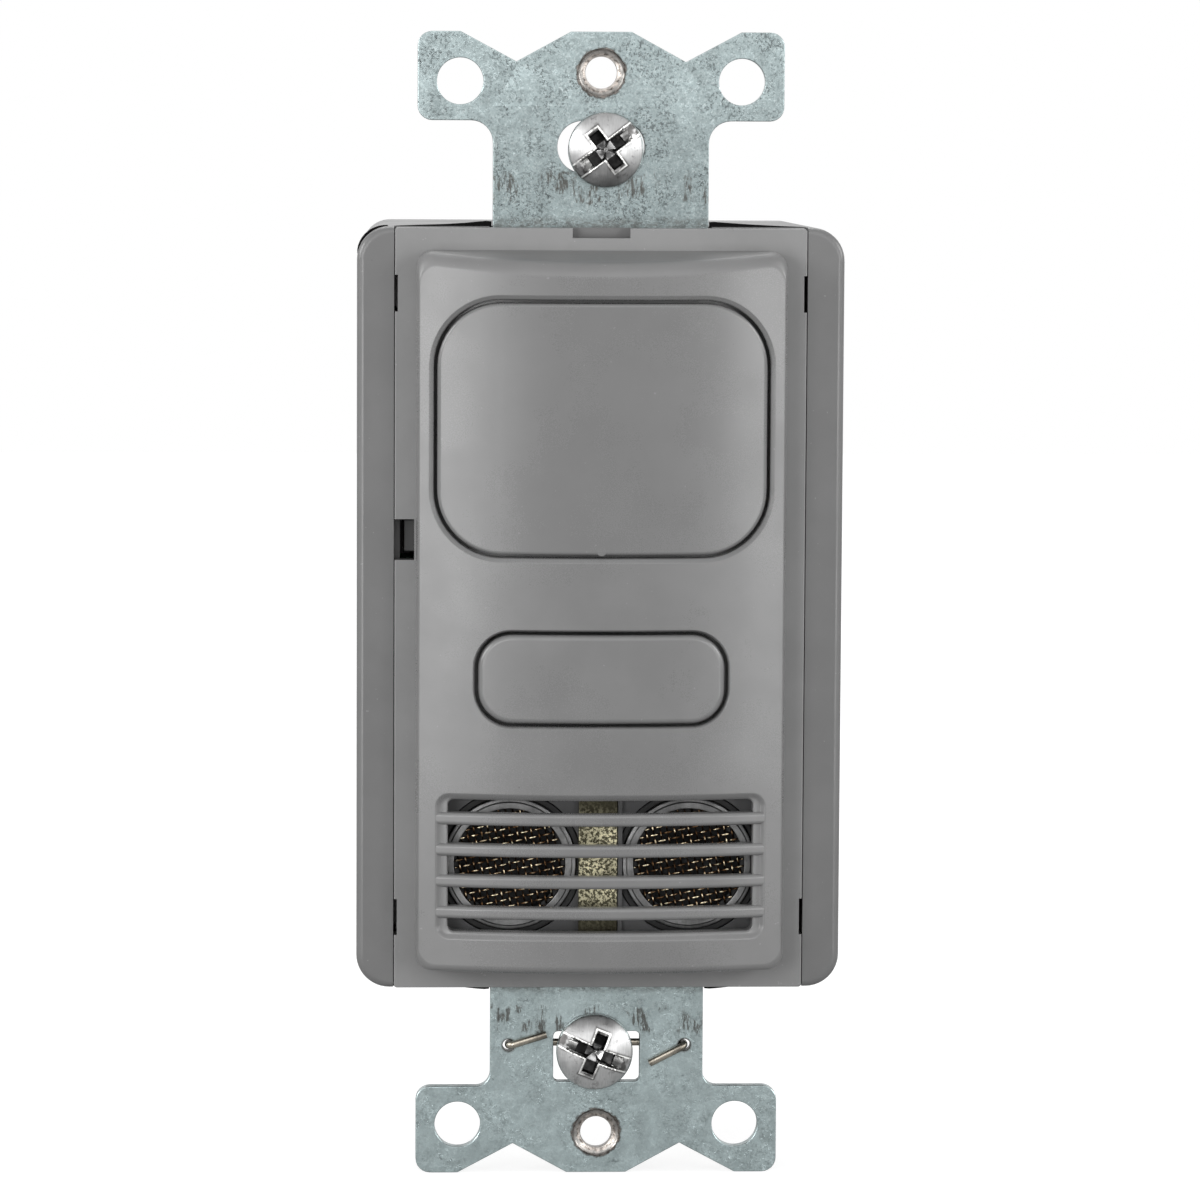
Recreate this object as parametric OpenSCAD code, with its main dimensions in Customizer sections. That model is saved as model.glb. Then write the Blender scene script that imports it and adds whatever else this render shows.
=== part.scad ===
// Motion sensor light switch: an infrared lens, a push button and an ultrasonic grille on a strap.
// Millimetres. X runs to the right, Y into the wall and Z up.
// The origin is on the back face of the mounting strap, at the strap's centre.

/* [Mounting strap] */
// Overall length of the strap
strap_len = 104.2; // [103:0.1:106]
// Thickness of the strap
strap_t = 1.3; // [1.1:0.05:1.5]
// Width across the ears
ear_w = 33.1; // [32:0.1:36]
// Height of an ear
ear_h = 8; // [7.4:0.1:8.6]
// Radius of an ear's outer corners
ear_corner_r = 1.3; // [0.8:0.1:2]
// Radius between an upper ear and the tongue
upper_ear_fillet = 2; // [1:0.1:2.6]
// Radius between a lower ear and the tongue
lower_ear_fillet = 1.3; // [1:0.1:2.6]
// Straight length of an ear's outer end
ear_flat = 3.85; // [3:0.05:4.4]
// Straight length of the crown between the ears
crown_w = 5.45; // [4:0.05:7]
// Distance of a vee notch from the centre line
vee_x = 7.65; // [7:0.05:8.5]
// Depth of a vee notch
vee_d = 2.7; // [2:0.1:3.2]
// Width of the tongue between ears and body
tongue_w = 19.5; // [18.5:0.1:20.5]
// Diameter of the break-off ear holes
ear_hole_d = 4.2; // [3.8:0.1:4.6]
// Spacing of the ear holes across the strap
ear_hole_span_x = 25.44; // [25:0.02:26.5]
// Distance of the ear holes from the strap's end
ear_hole_edge = 4.47; // [4.2:0.01:4.8]
// Distance of the wall plate screw holes from the strap's end
plate_hole_edge = 3.68; // [3.4:0.01:4]
// Diameter of the tapped wall plate screw holes
plate_hole_d = 2.86; // [2.6:0.02:3.2]
// Diameter of the sunk rim around a wall plate hole
plate_sink_d = 4.4; // [4:0.1:5]
// Depth of that sunk rim
plate_sink_t = 0.4; // [0.2:0.05:0.6]
// Length of the box screw slots
slot_w = 7.9; // [7:0.1:9]
// Height of the box screw slots
slot_h = 4.66; // [4.2:0.02:5]
// Height of the upper slot above the origin
upper_slot_z = 41.75; // [41.4:0.05:42]
// Depth of the lower slot below the origin
lower_slot_z = 41.35; // [41.1:0.05:41.8]
// Corner radius of the square-ended lower slot
lower_slot_r = 0.4; // [0.2:0.05:0.8]
// How far the strap steps back inside the body
joggle_d = 1.2; // [0.8:0.05:1.5]
// Length of the step
joggle_len = 1.4; // [1:0.05:1.6]
// Height above the body where the step starts
joggle_lead = 0.7; // [0.4:0.05:1]
// Corner radius of the strap's frame inside the body
frame_r = 1; // [0.5:0.1:1.4]
// Width of the side rails of that frame
rail_w = 1.4; // [1.2:0.05:1.5]
// Height of the frame's top web
top_web_h = 3.3; // [2:0.1:3.6]
// Height of the frame's bottom web
bottom_web_h = 2.4; // [2:0.1:2.5]
// Height of the web between the two windows
cross_web_h = 3.4; // [2.5:0.1:3.6]

/* [Screws and wire] */
// Major diameter of the box screws
screw_d = 3.5; // [3.2:0.05:3.8]
// Length of a box screw under its head
screw_len = 22; // [16:0.5:26]
// Diameter of a box screw's neck, the part without thread under its head
neck_d = 3; // [2.7:0.05:3.1]
// Length of the neck
neck_len = 1.95; // [1.9:0.05:2.4]
// Diameter of a box screw's head
head_d = 7; // [6.4:0.1:7.4]
// Height of a box screw's head
head_h = 2.1; // [1.8:0.05:2.4]
// Height of the head's straight rim
head_rim_h = 0.7; // [0.5:0.05:1]
// Width of the straight slot in the head
drive_slot_w = 1.15; // [0.9:0.05:1.3]
// Depth of the straight slot in the head
drive_slot_d = 0.9; // [0.6:0.05:1.1]
// Length across the cross recess
drive_cross_l = 3.7; // [3:0.1:4.2]
// Width of the cross recess's wings
drive_cross_w = 1.05; // [0.8:0.05:1.2]
// Depth of the cross recess
drive_cross_d = 1.6; // [1.2:0.05:1.7]
// Place of the upper screw across the strap
upper_screw_x = 0.4; // [-1.5:0.1:1.5]
// How far the upper screw rests below the middle of its slot
upper_screw_drop = 0.25; // [0:0.01:0.4]
// Place of the lower screw across the strap
lower_screw_x = -0.2; // [-1:0.1:1]
// How far the lower screw rests above the middle of its slot
lower_screw_lift = 0.53; // [0.3:0.01:0.55]
// Turn of the upper screw's slot
upper_screw_turn = 37; // [0:1:180]
// Turn of the lower screw's slot
lower_screw_turn = 158; // [0:1:180]
// Diameter of the wire that keeps the lower screw in place
wire_d = 0.55; // [0.45:0.01:0.6]
// Diameter of the holes for the wire
wire_hole_d = 1.1; // [1:0.05:1.4]
// Spacing of the holes for the wire
wire_span = 16.1; // [15.4:0.1:16.4]
// Height of the wire holes above the middle of the lower slot
wire_lift = 1.05; // [0.8:0.05:1.2]
// Length of the wire's folded ends
wire_end_l = 3.5; // [3:0.1:3.8]
// Radius of the wire's folds
wire_fold_r = 0.6; // [0.4:0.05:0.7]
// Turn of the left folded end
wire_left_turn = 17; // [0:1:30]
// Turn of the right folded end
wire_right_turn = 207; // [190:1:220]

/* [Body] */
// Width of the body
body_w = 44; // [43.4:0.1:45]
// Height of the body
body_h = 69.2; // [69:0.1:70.2]
// Corner radius of the body
body_r = 3; // [2:0.1:4]
// Rounding of the body's front edge
body_edge_r = 0.6; // [0.3:0.05:0.8]
// Depth of the rear housing behind the strap's back face
housing_depth = 36; // [35:0.5:42]
// Taper of the rear housing on each side
housing_taper = 0.6; // [0.3:0.05:0.7]
// How far the ledge overhangs the housing's side wall
ledge_lap = 0.34; // [0.3:0.02:0.4]
// Thickness of the housing's top and bottom walls
housing_end_wall = 2; // [1.6:0.05:2.1]
// Thickness of the housing's back wall
housing_back = 1.8; // [1.4:0.1:2.2]
// Width of the cover's flange beside the raised face
flange_side_w = 1.87; // [1.8:0.01:1.95]
// Height of the cover's flange above and below the raised face
flange_end_w = 2.1; // [2:0.05:2.2]
// Gap between the ledge and the cover
seam_gap = 0.14; // [0.1:0.02:0.2]
// Distance of the cover's flange in front of the strap's back face
flange_y = 3.3; // [3.1:0.05:3.6]
// Thickness of the cover's flange
flange_t = 2; // [1.7:0.05:2]
// Width of the notch in the cover's top edge
top_notch_w = 5.2; // [4:0.1:6]
// Depth of the notch in the cover's top edge
top_notch_h = 1; // [0.6:0.05:1.2]
// Thickness of the ribs on the side walls
rib_t = 1.2; // [0.8:0.1:1.6]
// Depth of the ribs on the side walls
rib_w = 1.9; // [1.6:0.1:1.9]
// Thickness of the corner posts that carry the strap
post_t = 1.8; // [1.4:0.1:2]
// Number of ribs on a side wall
rib_count = 3; // [2:1:5]
// Height between the first and the last rib
rib_span = 40; // [34:1:44]
// Diameter of the holes for the leads
lead_hole_d = 3.6; // [3:0.1:3.8]
// Spacing of the holes for the leads
lead_hole_pitch = 5; // [4.2:0.1:5.2]
// Height of the row of lead holes
lead_hole_z = -26; // [-28:0.5:-20]

/* [Curved face] */
// Width of the raised face
face_w = 33.3; // [33.1:0.05:33.5]
// Distance of the face's middle in front of the strap's back face
face_rise = 9; // [8.7:0.05:9.6]
// Radius of the face about an upright axis
face_radius = 60; // [56:1:80]
// Corner radius of the raised face
face_corner_r = 1.5; // [1.2:0.1:2]
// How far the face's top edge dips in the middle
face_dip = 0.85; // [0:0.05:1.1]
// Rounding of the face's top edge
top_edge_r = 1.5; // [0.8:0.1:1.7]
// Rounding of the face's side edges
side_edge_r = 0.5; // [0.3:0.05:0.8]
// Rounding of the face's bottom edge
bottom_edge_r = 0.7; // [0.4:0.05:1.2]
// Thickness of the cover's front
front_wall = 1.8; // [1.6:0.05:2]
// Thickness of the raised face's side walls
side_wall = 1.4; // [1.3:0.02:1.44]

/* [Lens] */
// Width of the face beside the lens opening
lens_side_w = 1.55; // [1.5:0.01:1.8]
// Height of the lens opening
lens_open_h = 23.1; // [22:0.1:24]
// Height of the face above the lens opening
lens_top_w = 4.25; // [3.8:0.05:4.6]
// Corner radius of the lens opening
lens_open_r = 6; // [4:0.1:7]
// Gap around the lens
lens_gap = 0.3; // [0.2:0.02:0.4]
// Thickness of the lens
lens_t = 1; // [0.8:0.05:1.2]
// Height of the lens's hidden lip above and below the opening
lens_lip = 1.3; // [1:0.1:1.5]
// Rounding of the lens's front edge
lens_edge_r = 0.3; // [0.2:0.05:0.5]
// Width of the chamfer around the lens opening
rim_w = 0.6; // [0.3:0.05:0.65]
// Depth of the chamfer around the openings
rim_d = 0.35; // [0.2:0.05:0.5]

/* [Push button] */
// Width of the button opening
button_open_w = 22.8; // [21:0.1:24]
// Height of the button opening
button_open_h = 8.6; // [8:0.1:9.4]
// Share of the free face between lens and grille that is above the button
button_share = 0.52; // [0.45:0.01:0.58]
// Corner radius of the button opening
button_open_r = 3.35; // [2:0.05:3.8]
// Gap around the button
button_gap = 0.3; // [0.2:0.02:0.4]
// Travel of the button
button_travel = 0.6; // [0.4:0.05:0.8]
// Width that the button's hidden collar adds on each side
button_lip = 0.7; // [0.5:0.05:0.9]
// Thickness of the button's collar
button_lip_t = 1; // [0.8:0.05:1.2]
// Rounding of the button's front edge
button_edge_r = 0.45; // [0.3:0.05:0.6]
// Thickness of the button's walls
button_wall = 1.2; // [1:0.05:1.6]
// Diameter of the button's stem
button_stem_d = 3; // [2.4:0.1:3.4]

/* [Grille] */
// Width of the recess's floor at each end of the grille opening
grille_side_w = 1.25; // [1:0.05:1.6]
// Height of the recess's floor above and below the grille opening
grille_end_w = 0.75; // [0.5:0.05:0.9]
// Height of the face below the recess
grille_foot_w = 3.1; // [2.6:0.05:3.6]
// Corner radius of the grille opening
grille_r = 1; // [0.6:0.1:1.4]
// Width of the face beside the recess
recess_side_w = 1.7; // [1.6:0.05:2.1]
// Height of the recess around the grille
recess_h = 13.2; // [12.8:0.1:13.6]
// Depth of the recess around the grille
recess_d = 0.9; // [0.6:0.05:1]
// Corner radius of the recess
recess_r = 1.7; // [1.4:0.1:2]
// Number of louvre bars
bar_count = 4; // [3:1:5]
// Spacing of the louvre bars
bar_pitch = 2.84; // [2.6:0.02:2.86]
// Thickness of a louvre bar
bar_t = 1; // [0.8:0.05:1.2]
// Depth of a louvre bar from front to back
bar_depth = 1.6; // [1.3:0.05:1.8]

/* [Ultrasonic transducers] */
// How far the transducers sit below the middle of the grille
can_drop = 0.2; // [0:0.05:0.4]
// Diameter of a transducer can
can_d = 12; // [11.6:0.05:12.2]
// Length of a transducer can
can_len = 10.5; // [9.5:0.1:11.5]
// Distance of the can's front rim in front of the strap's back face
can_y = 5; // [4.8:0.05:5.1]
// Diameter of the can's open mouth
mouth_d = 10.1; // [9.6:0.05:10.4]
// Depth of the can's open mouth
mouth_t = 2.6; // [2:0.1:3]
// Thickness of the mesh
mesh_t = 0.3; // [0.2:0.05:0.4]
// Depth of the mesh inside the rim
mesh_sink = 0.3; // [0.2:0.05:0.5]
// Thickness of the rubber boot
boot_t = 0.62; // [0.5:0.02:0.64]
// Length of the rubber boot
boot_len = 5.7; // [5:0.1:6]
// Thickness of the carrier's front plate
carrier_t = 1.5; // [1.2:0.05:1.7]
// Height of the carrier
carrier_h = 15.6; // [15.2:0.1:15.7]
// Gap between the carrier and the raised face's side walls
carrier_gap = 0.35; // [0.3:0.05:0.5]
// Width of the carrier's plate beside the boots
carrier_edge = 0.15; // [0.1:0.05:0.4]
// Gap between the retainer bar and the transducer cans
retainer_gap = 0.26; // [0.2:0.02:0.5]
// Thickness of the retainer bar
retainer_t = 0.6; // [0.5:0.05:0.7]
// Diameter of a can's pins
can_pin_d = 0.8; // [0.6:0.05:1]
// Spacing of a can's pins
can_pin_span = 5; // [4:0.1:6]

/* [Photocell set button] */
// Width of the window for the photocell set button
cell_window_w = 1.95; // [1.8:0.05:2.1]
// Height of that window
cell_window_h = 3.7; // [3.4:0.05:4]
// Height of the window's middle above the lens opening's lower edge
cell_lift = 1.2; // [0.8:0.05:1.6]
// Width of the photocell set button
cell_button_w = 1.1; // [0.9:0.05:1.15]
// Height of the photocell set button
cell_button_h = 2.9; // [2.6:0.05:3]
// Gap between the photocell set button and the strap's frame
cell_gap = 0.32; // [0.3:0.01:0.4]
// Travel of the photocell set button
cell_travel = 0.3; // [0.2:0.05:0.4]

/* [Electronics] */
// Thickness of the circuit boards
board_t = 1.6; // [1.4:0.1:1.8]
// Distance of the sensor board behind the strap's back face
sensor_board_y = 8; // [7.8:0.1:8.4]
// Gap between the sensor board and the housing's side walls
board_side_gap = 0.4; // [0.3:0.05:0.8]
// Gap between the sensor board and the corner posts
board_end_gap = 1.4; // [0.8:0.1:2]
// Distance of the power board behind the strap's back face
power_board_y = 30; // [29.6:0.1:30.4]
// Gap between the power board and the ribs
power_board_gap = 0.8; // [0.5:0.05:1.4]
// How much shorter the power board is at each end
power_board_inset = 0.5; // [0:0.1:1]
// Distance of the board spacers from the power board's edges
spacer_edge = 3.3; // [3:0.1:4.5]
// Diameter of the board spacers
spacer_d = 5; // [4:0.1:5.4]
// Size of the button's switch body
tact_size = 6; // [5.6:0.1:6.4]
// Height of the button's switch body
tact_h = 3.5; // [3.3:0.1:4]
// Diameter of the switch's plunger
tact_plunger_d = 3.4; // [3:0.1:3.8]
// Distance of the plunger's tip behind the strap's back face
tact_tip_y = 1; // [0.6:0.05:1.4]
// Diameter of the infrared detector's can
detector_d = 8.3; // [8:0.1:9]
// Height of the infrared detector's can
detector_h = 4.2; // [3.6:0.1:5]
// Side of the infrared detector's window
detector_window = 3.6; // [3:0.1:4.4]
// Diameter of the light sensor
light_sensor_d = 5; // [4.5:0.1:5.5]
// Height of the light sensor
light_sensor_h = 6; // [5:0.1:6.4]
// Distance of the light sensor below the infrared detector
light_sensor_drop = 8; // [7.6:0.1:9]
// Diameter of the status lamps
lamp_d = 3; // [2.8:0.1:3.4]
// Spacing of the status lamps
lamp_span = 15; // [13:0.5:17]
// Height of a status lamp's straight part
lamp_h = 4.5; // [4:0.1:5]
// Distance of the status lamps below the infrared detector
lamp_drop = 4; // [0:0.5:6]
// Rim of the round components where they meet the board
base_rim = 0.4; // [0.3:0.05:0.5]
// Distance of the board connector below the middle
connector_drop = 15.5; // [15:0.5:18]
// Number of pins in the board connector
connector_pins = 8; // [4:1:10]
// Spacing of the connector's pins
connector_pitch = 2.54; // [2:0.01:2.54]
// Height of a connector's base
connector_base = 2.5; // [2:0.1:3]
// Distance of the relay left of the middle
relay_x = 7.5; // [7:0.1:8.5]
// Height of the relay's middle
relay_z = 6; // [4:0.5:8]
// Distance of the capacitors and the transformer right of the middle
parts_x = 8; // [7.4:0.1:8.6]
// Height of the electrolytic capacitor's middle
can_cap_z = 13; // [12.8:0.1:16]
// Height of the film capacitor's middle
film_cap_z = 4.5; // [4.2:0.1:5]
// Distance of the power transformer below the middle
transformer_drop = 6; // [5.6:0.1:6.5]
// Height of the transformer's core at each end of its winding
core_w = 2; // [1.5:0.1:3]
// Width, depth and height of the relay
relay_size = [12.8, 15.5, 28]; // [10:0.5:30]
// Diameter of the electrolytic capacitor
can_cap_d = 10; // [8:0.5:11]
// Length of the electrolytic capacitor
can_cap_len = 15; // [12:0.5:17]
// Width, depth and height of the film capacitor
film_cap_size = [12, 10, 6]; // [5:0.5:14]
// Width, depth and height of the power transformer
transformer_size = [14, 12, 14]; // [8:0.5:16]

/* [Hidden] */
$fn = 48;
eps = 0.02;
play = 0.05;
cut = 1;
weld = 0.4;
steel = [0.62, 0.66, 0.67];
grey = [0.5, 0.5, 0.5];
arc_steps = 5;
span_steps = 12;
edge_steps = 5;
face_axis_y = face_radius - face_rise;
face_h = body_h - 2 * flange_end_w;
back_y = housing_depth - housing_back;
cover_w = face_w + 2 * flange_side_w;
ledge_x = cover_w / 2 + seam_gap;
inner_x = ledge_x + ledge_lap;
inner_z = body_h / 2 - housing_end_wall;
flange_back = flange_y - flange_t;
cavity_w = face_w - 2 * side_wall;
cavity_h = face_h - 2 * side_wall;
cavity_radius = face_radius - front_wall;
lens_open_w = face_w - 2 * lens_side_w;
lens_z = face_h / 2 - lens_top_w - lens_open_h / 2;
recess_w = face_w - 2 * recess_side_w;
grille_w = recess_w - 2 * grille_side_w;
grille_h = recess_h - 2 * grille_end_w;
grille_z = -face_h / 2 + grille_foot_w + recess_h / 2;
button_room = lens_z - lens_open_h / 2 - grille_z - recess_h / 2 - button_open_h;
button_z = lens_z - lens_open_h / 2 - button_share * button_room - button_open_h / 2;
collar_w = button_open_w + 2 * button_lip;
collar_h = button_open_h + 2 * button_lip;
strap_frame_gap = 0.3;
cell_x = -cover_w / 2 + cell_window_w - cell_button_w / 2 - 0.05;
cell_z = lens_z - lens_open_h / 2 + cell_lift;
cell_button_tip = flange_back - 0.1;
cell_button_back = sensor_board_y - board_t;
frame_w = 2 * (-cell_x - cell_button_w / 2 - cell_gap);
frame_h = 2 * (inner_z - strap_frame_gap);
frame_back = joggle_d;
frame_front = joggle_d - strap_t;
boot_od = can_d + 2 * boot_t;
can_z = grille_z - can_drop;
carrier_w = cavity_w - 2 * carrier_gap;
can_span = carrier_w - boot_od - 2 * carrier_edge;
carrier_zl = can_z - carrier_h / 2 + weld;
carrier_zh = can_z + carrier_h / 2 + weld;
carrier_y = can_y - retainer_t;
retainer_w = can_span - can_d - 2 * retainer_gap;
window_w = frame_w - 2 * rail_w;
low_window_zl = -frame_h / 2 + bottom_web_h;
low_window_zh = can_z + boot_od / 2 + 1;
high_window_zl = low_window_zh + cross_web_h;
high_window_zh = frame_h / 2 - top_web_h;
plate_hole_span = strap_len - 2 * plate_hole_edge;
ear_hole_span_z = strap_len - 2 * ear_hole_edge;
upper_screw_z = upper_slot_z - upper_screw_drop;
lower_screw_z = lower_slot_z - lower_screw_lift;
wire_z = lower_slot_z - wire_lift;
latch_half = 1.4;
latch_slot_h = 2 * latch_half + 0.5;
latch_zs = [face_h / 2 - 3.9, 4.4 - face_h / 2];
post_x = frame_w / 2 - post_t;
post_z = frame_h / 2 - 1.4;
sensor_board_w = 2 * (inner_x - board_side_gap);
sensor_board_h = 2 * (post_z - board_end_gap);
power_board_w = 2 * (inner_x - rib_w - power_board_gap);
power_board_h = sensor_board_h - 2 * power_board_inset;
spacer_span_x = power_board_w - 2 * spacer_edge;
spacer_span_z = power_board_h - 2 * spacer_edge;

// Y of the curved face at a distance x from its middle
function face_y(x) = face_axis_y - sqrt(face_radius * face_radius - x * x);

// Y range of the button's collar, just behind the cover's inside at the collar's ends
collar_front = face_y(collar_w / 2) + front_wall + 0.2;
collar_back = collar_front + button_lip_t;

// Quarter circle that starts at a given angle and runs clockwise
function quarter(x, z, r, start) =
    [for (i = [0 : arc_steps]) let (t = start - 90 * i / arc_steps) [x + r * cos(t), z + r * sin(t)]];

// Rounded outline, from the left edge over the top and back along the bottom
function outline(w, zl, zh, r, dip = 0) =
    let (a = w / 2 - r)
    concat(
        quarter(-a, zh - r, r, 180),
        [for (i = [1 : span_steps - 1])
            let (x = -a + 2 * a * i / span_steps) [x, zh - dip * (1 - pow(2 * x / w, 2))]],
        quarter(a, zh - r, r, 90),
        quarter(a, zl + r, r, 0),
        [for (i = [1 : span_steps - 1]) [a - 2 * a * i / span_steps, zl]],
        quarter(-a, zl + r, r, -90));

// Outline about a given height, grown outwards on every side
function grown(w, h, z, r, by) = outline(w + 2 * by, z - h / 2 - by, z + h / 2 + by, r + by);

// Outline laid flat at a given Y
function flat_ring(pts, y) = [for (p = pts) [p[0], y, p[1]]];

// Outline laid on the curved face, sunk behind it by a given amount
function face_ring(pts, sink) = [for (p = pts) [p[0], face_y(p[0]) + sink, p[1]]];

// Solid through rings of equal length, from the back to the front
module loft(rings) {
    n = len(rings[0]);
    last = (len(rings) - 1) * n;
    sides = [for (k = [0 : len(rings) - 2], i = [0 : n - 1])
        let (a = k * n + i, b = k * n + (i + 1) % n)
        each [[a, b, b + n], [a, b + n, a + n]]];
    front = [for (i = [0 : n / 2 - 2])
        let (a = last + i, b = last + n - 1 - i)
        each [[a, a + 1, b - 1], [a, b - 1, b]]];
    back = [for (i = [0 : n / 2 - 2])
        let (a = i, b = n - 1 - i)
        each [[a, b - 1, a + 1], [a, b, b - 1]]];
    polyhedron(points = [for (ring = rings) each ring], faces = concat(sides, front, back));
}

// Flat shape in the XZ plane, thickened from y0 back to y1
module slab(y0, y1) {
    translate([0, y1, 0]) rotate([90, 0, 0]) linear_extrude(y1 - y0) children();
}

// Round bar along Y
module rod(x, z, r, y0, y1) {
    translate([x, y1, z]) rotate([90, 0, 0]) cylinder(r = r, h = y1 - y0);
}

// Flat rectangle with round corners
module rounded(w, h, r) {
    square([w - 2 * r, h], center = true);
    square([w, h - 2 * r], center = true);
    for (sx = [-1, 1], sz = [-1, 1]) translate([sx * (w / 2 - r), sz * (h / 2 - r)]) circle(r = r);
}

// Block between two corners
module block(x0, x1, y0, y1, z0, z1) {
    translate([x0, y0, z0]) cube([x1 - x0, y1 - y0, z1 - z0]);
}

// Mounting strap

// Flat outline of the tongue and one pair of ears, pointing up
module ear_outline(fillet) {
    half = strap_len / 2;
    ear_z = half - ear_h;
    foot_z = body_h / 2 + joggle_lead;
    difference() {
        union() {
            polygon([[-tongue_w / 2, foot_z], [-tongue_w / 2, ear_z], [-ear_w / 2 + ear_corner_r, ear_z],
                [-ear_w / 2, ear_z + ear_corner_r], [-ear_w / 2, half - ear_corner_r],
                [-ear_w / 2 + ear_corner_r, half], [-ear_w / 2 + ear_flat, half], [-vee_x, half - vee_d],
                [-crown_w / 2, half], [crown_w / 2, half], [vee_x, half - vee_d],
                [ear_w / 2 - ear_flat, half], [ear_w / 2 - ear_corner_r, half],
                [ear_w / 2, half - ear_corner_r], [ear_w / 2, ear_z + ear_corner_r],
                [ear_w / 2 - ear_corner_r, ear_z], [tongue_w / 2, ear_z], [tongue_w / 2, foot_z]]);
            for (sx = [-1, 1], z = [ear_z + ear_corner_r, half - ear_corner_r])
                translate([sx * (ear_w / 2 - ear_corner_r), z]) circle(r = ear_corner_r);
            for (sx = [-1, 1]) translate([sx * (tongue_w / 2 + fillet / 2 - eps), ear_z - fillet / 2 + eps])
                square(fillet, center = true);
        }
        for (sx = [-1, 1]) translate([sx * (tongue_w / 2 + fillet), ear_z - fillet]) circle(r = fillet);
        for (sx = [-1, 1]) translate([sx * ear_hole_span_x / 2, ear_hole_span_z / 2]) circle(d = ear_hole_d);
        translate([0, plate_hole_span / 2]) circle(d = plate_hole_d);
    }
}

// Step between the tongue and the frame inside the body, pointing up
module joggle() {
    z1 = body_h / 2 + joggle_lead;
    z0 = z1 - joggle_len;
    z2 = frame_h / 2 - frame_r;
    translate([-tongue_w / 2, 0, 0]) rotate([90, 0, 90]) linear_extrude(tongue_w)
        polygon([[-strap_t, z1 + eps], [0, z1 + eps], [0, z1], [frame_back, z0], [frame_back, z2],
            [frame_front, z2], [frame_front, z0], [-strap_t, z1]]);
}

module mounting_strap() {
    color(steel) difference() {
        union() {
            slab(-strap_t, 0) ear_outline(upper_ear_fillet);
            joggle();
            mirror([0, 0, 1]) {
                slab(-strap_t, 0) ear_outline(lower_ear_fillet);
                joggle();
            }
            slab(frame_front, frame_back) difference() {
                rounded(frame_w, frame_h, frame_r);
                translate([0, (high_window_zl + high_window_zh) / 2])
                    rounded(window_w, high_window_zh - high_window_zl, frame_r);
                translate([0, (low_window_zl + low_window_zh) / 2])
                    rounded(window_w, low_window_zh - low_window_zl, frame_r);
            }
        }
        for (sz = [-1, 1])
            translate([0, -strap_t + plate_sink_t, sz * plate_hole_span / 2]) rotate([90, 0, 0])
            cylinder(d1 = plate_hole_d, d2 = plate_sink_d, h = plate_sink_t + eps);
        translate([0, 0, upper_slot_z]) slab(-strap_t - cut, cut)
            rounded(slot_w, slot_h, slot_h / 2 - eps / 2);
        translate([0, 0, -lower_slot_z]) slab(-strap_t - cut, cut) rounded(slot_w, slot_h, lower_slot_r);
        for (sx = [-1, 1]) rod(sx * wire_span / 2, -wire_z, wire_hole_d / 2, -strap_t - cut, cut);
    }
}

// Box screws and the wire that keeps the lower one

// Screw along Y with a pan head, a straight slot and a cross recess
module box_screw(x, z, turn) {
    dome_r = (pow(head_d / 2, 2) + pow(head_h - head_rim_h, 2)) / (2 * (head_h - head_rim_h));
    head_y = -strap_t;
    translate([x, head_y, z]) rotate([0, -turn, 0]) difference() {
        union() {
            rod(0, 0, head_d / 2, -head_rim_h, 0);
            intersection() {
                rod(0, 0, head_d / 2, -head_h, -head_rim_h + eps);
                translate([0, dome_r - head_h, 0]) sphere(r = dome_r, $fn = 96);
            }
            rod(0, 0, neck_d / 2, -eps, neck_len + eps);
            rod(0, 0, screw_d / 2, neck_len, screw_len);
        }
        block(-head_d, head_d, -head_h - cut, -head_h + drive_slot_d, -drive_slot_w / 2, drive_slot_w / 2);
        block(-drive_cross_l / 2, drive_cross_l / 2, -head_h - cut, -head_h + drive_cross_d,
            -drive_cross_w / 2, drive_cross_w / 2);
        block(-drive_cross_w / 2, drive_cross_w / 2, -head_h - cut, -head_h + drive_cross_d,
            -drive_cross_l / 2, drive_cross_l / 2);
    }
}

module upper_mounting_screw() {
    color("silver") box_screw(upper_screw_x, upper_screw_z, upper_screw_turn);
}

module lower_mounting_screw() {
    color("silver") box_screw(lower_screw_x, -lower_screw_z, lower_screw_turn);
}

// Points of a soft corner at b on the way from a to c
function corner(a, b, c, reach) =
    let (p = b + reach * (a - b) / norm(a - b), q = b + reach * (c - b) / norm(c - b))
    [for (i = [0 : 5]) let (t = i / 5) (1 - t) * (1 - t) * p + 2 * t * (1 - t) * b + t * t * q];

// Direction of a route at one of its points
function heading(route, i) =
    let (d = route[min(i + 1, len(route) - 1)] - route[max(i - 1, 0)]) d / norm(d);

// Part of a vector that is square to a direction, at unit length
function square_to(v, d) = let (w = v - (v * d) * d) w / norm(w);

// Round tube along a route, with a given number of sides
module tube(route, d, sides) {
    n = len(route);
    normals = [for (i = 0, v = square_to([0.3, 0.2, 1], heading(route, 0)); i < n;
        i = i + 1, v = i < n ? square_to(v, heading(route, i)) : v) v];
    points = [for (i = [0 : n - 1], k = [0 : sides - 1])
        let (a = normals[i], b = cross(heading(route, i), a), t = 360 * k / sides)
        route[i] + d / 2 * (cos(t) * a + sin(t) * b)];
    walls = [for (i = [0 : n - 2], k = [0 : sides - 1])
        let (a = i * sides + k, b = i * sides + (k + 1) % sides)
        each [[a, a + sides, b + sides], [a, b + sides, b]]];
    start = [for (k = [1 : sides - 2]) [0, k, k + 1]];
    end = [for (k = [1 : sides - 2]) [(n - 1) * sides, (n - 1) * sides + k + 1, (n - 1) * sides + k]];
    polyhedron(points = points, faces = concat(walls, start, end));
}

// End of the wire, folded down on the strap beside a hole at x
function wire_end(x, y, turn) = [x + wire_end_l * cos(turn), y, -wire_z + wire_end_l * sin(turn)];

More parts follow.
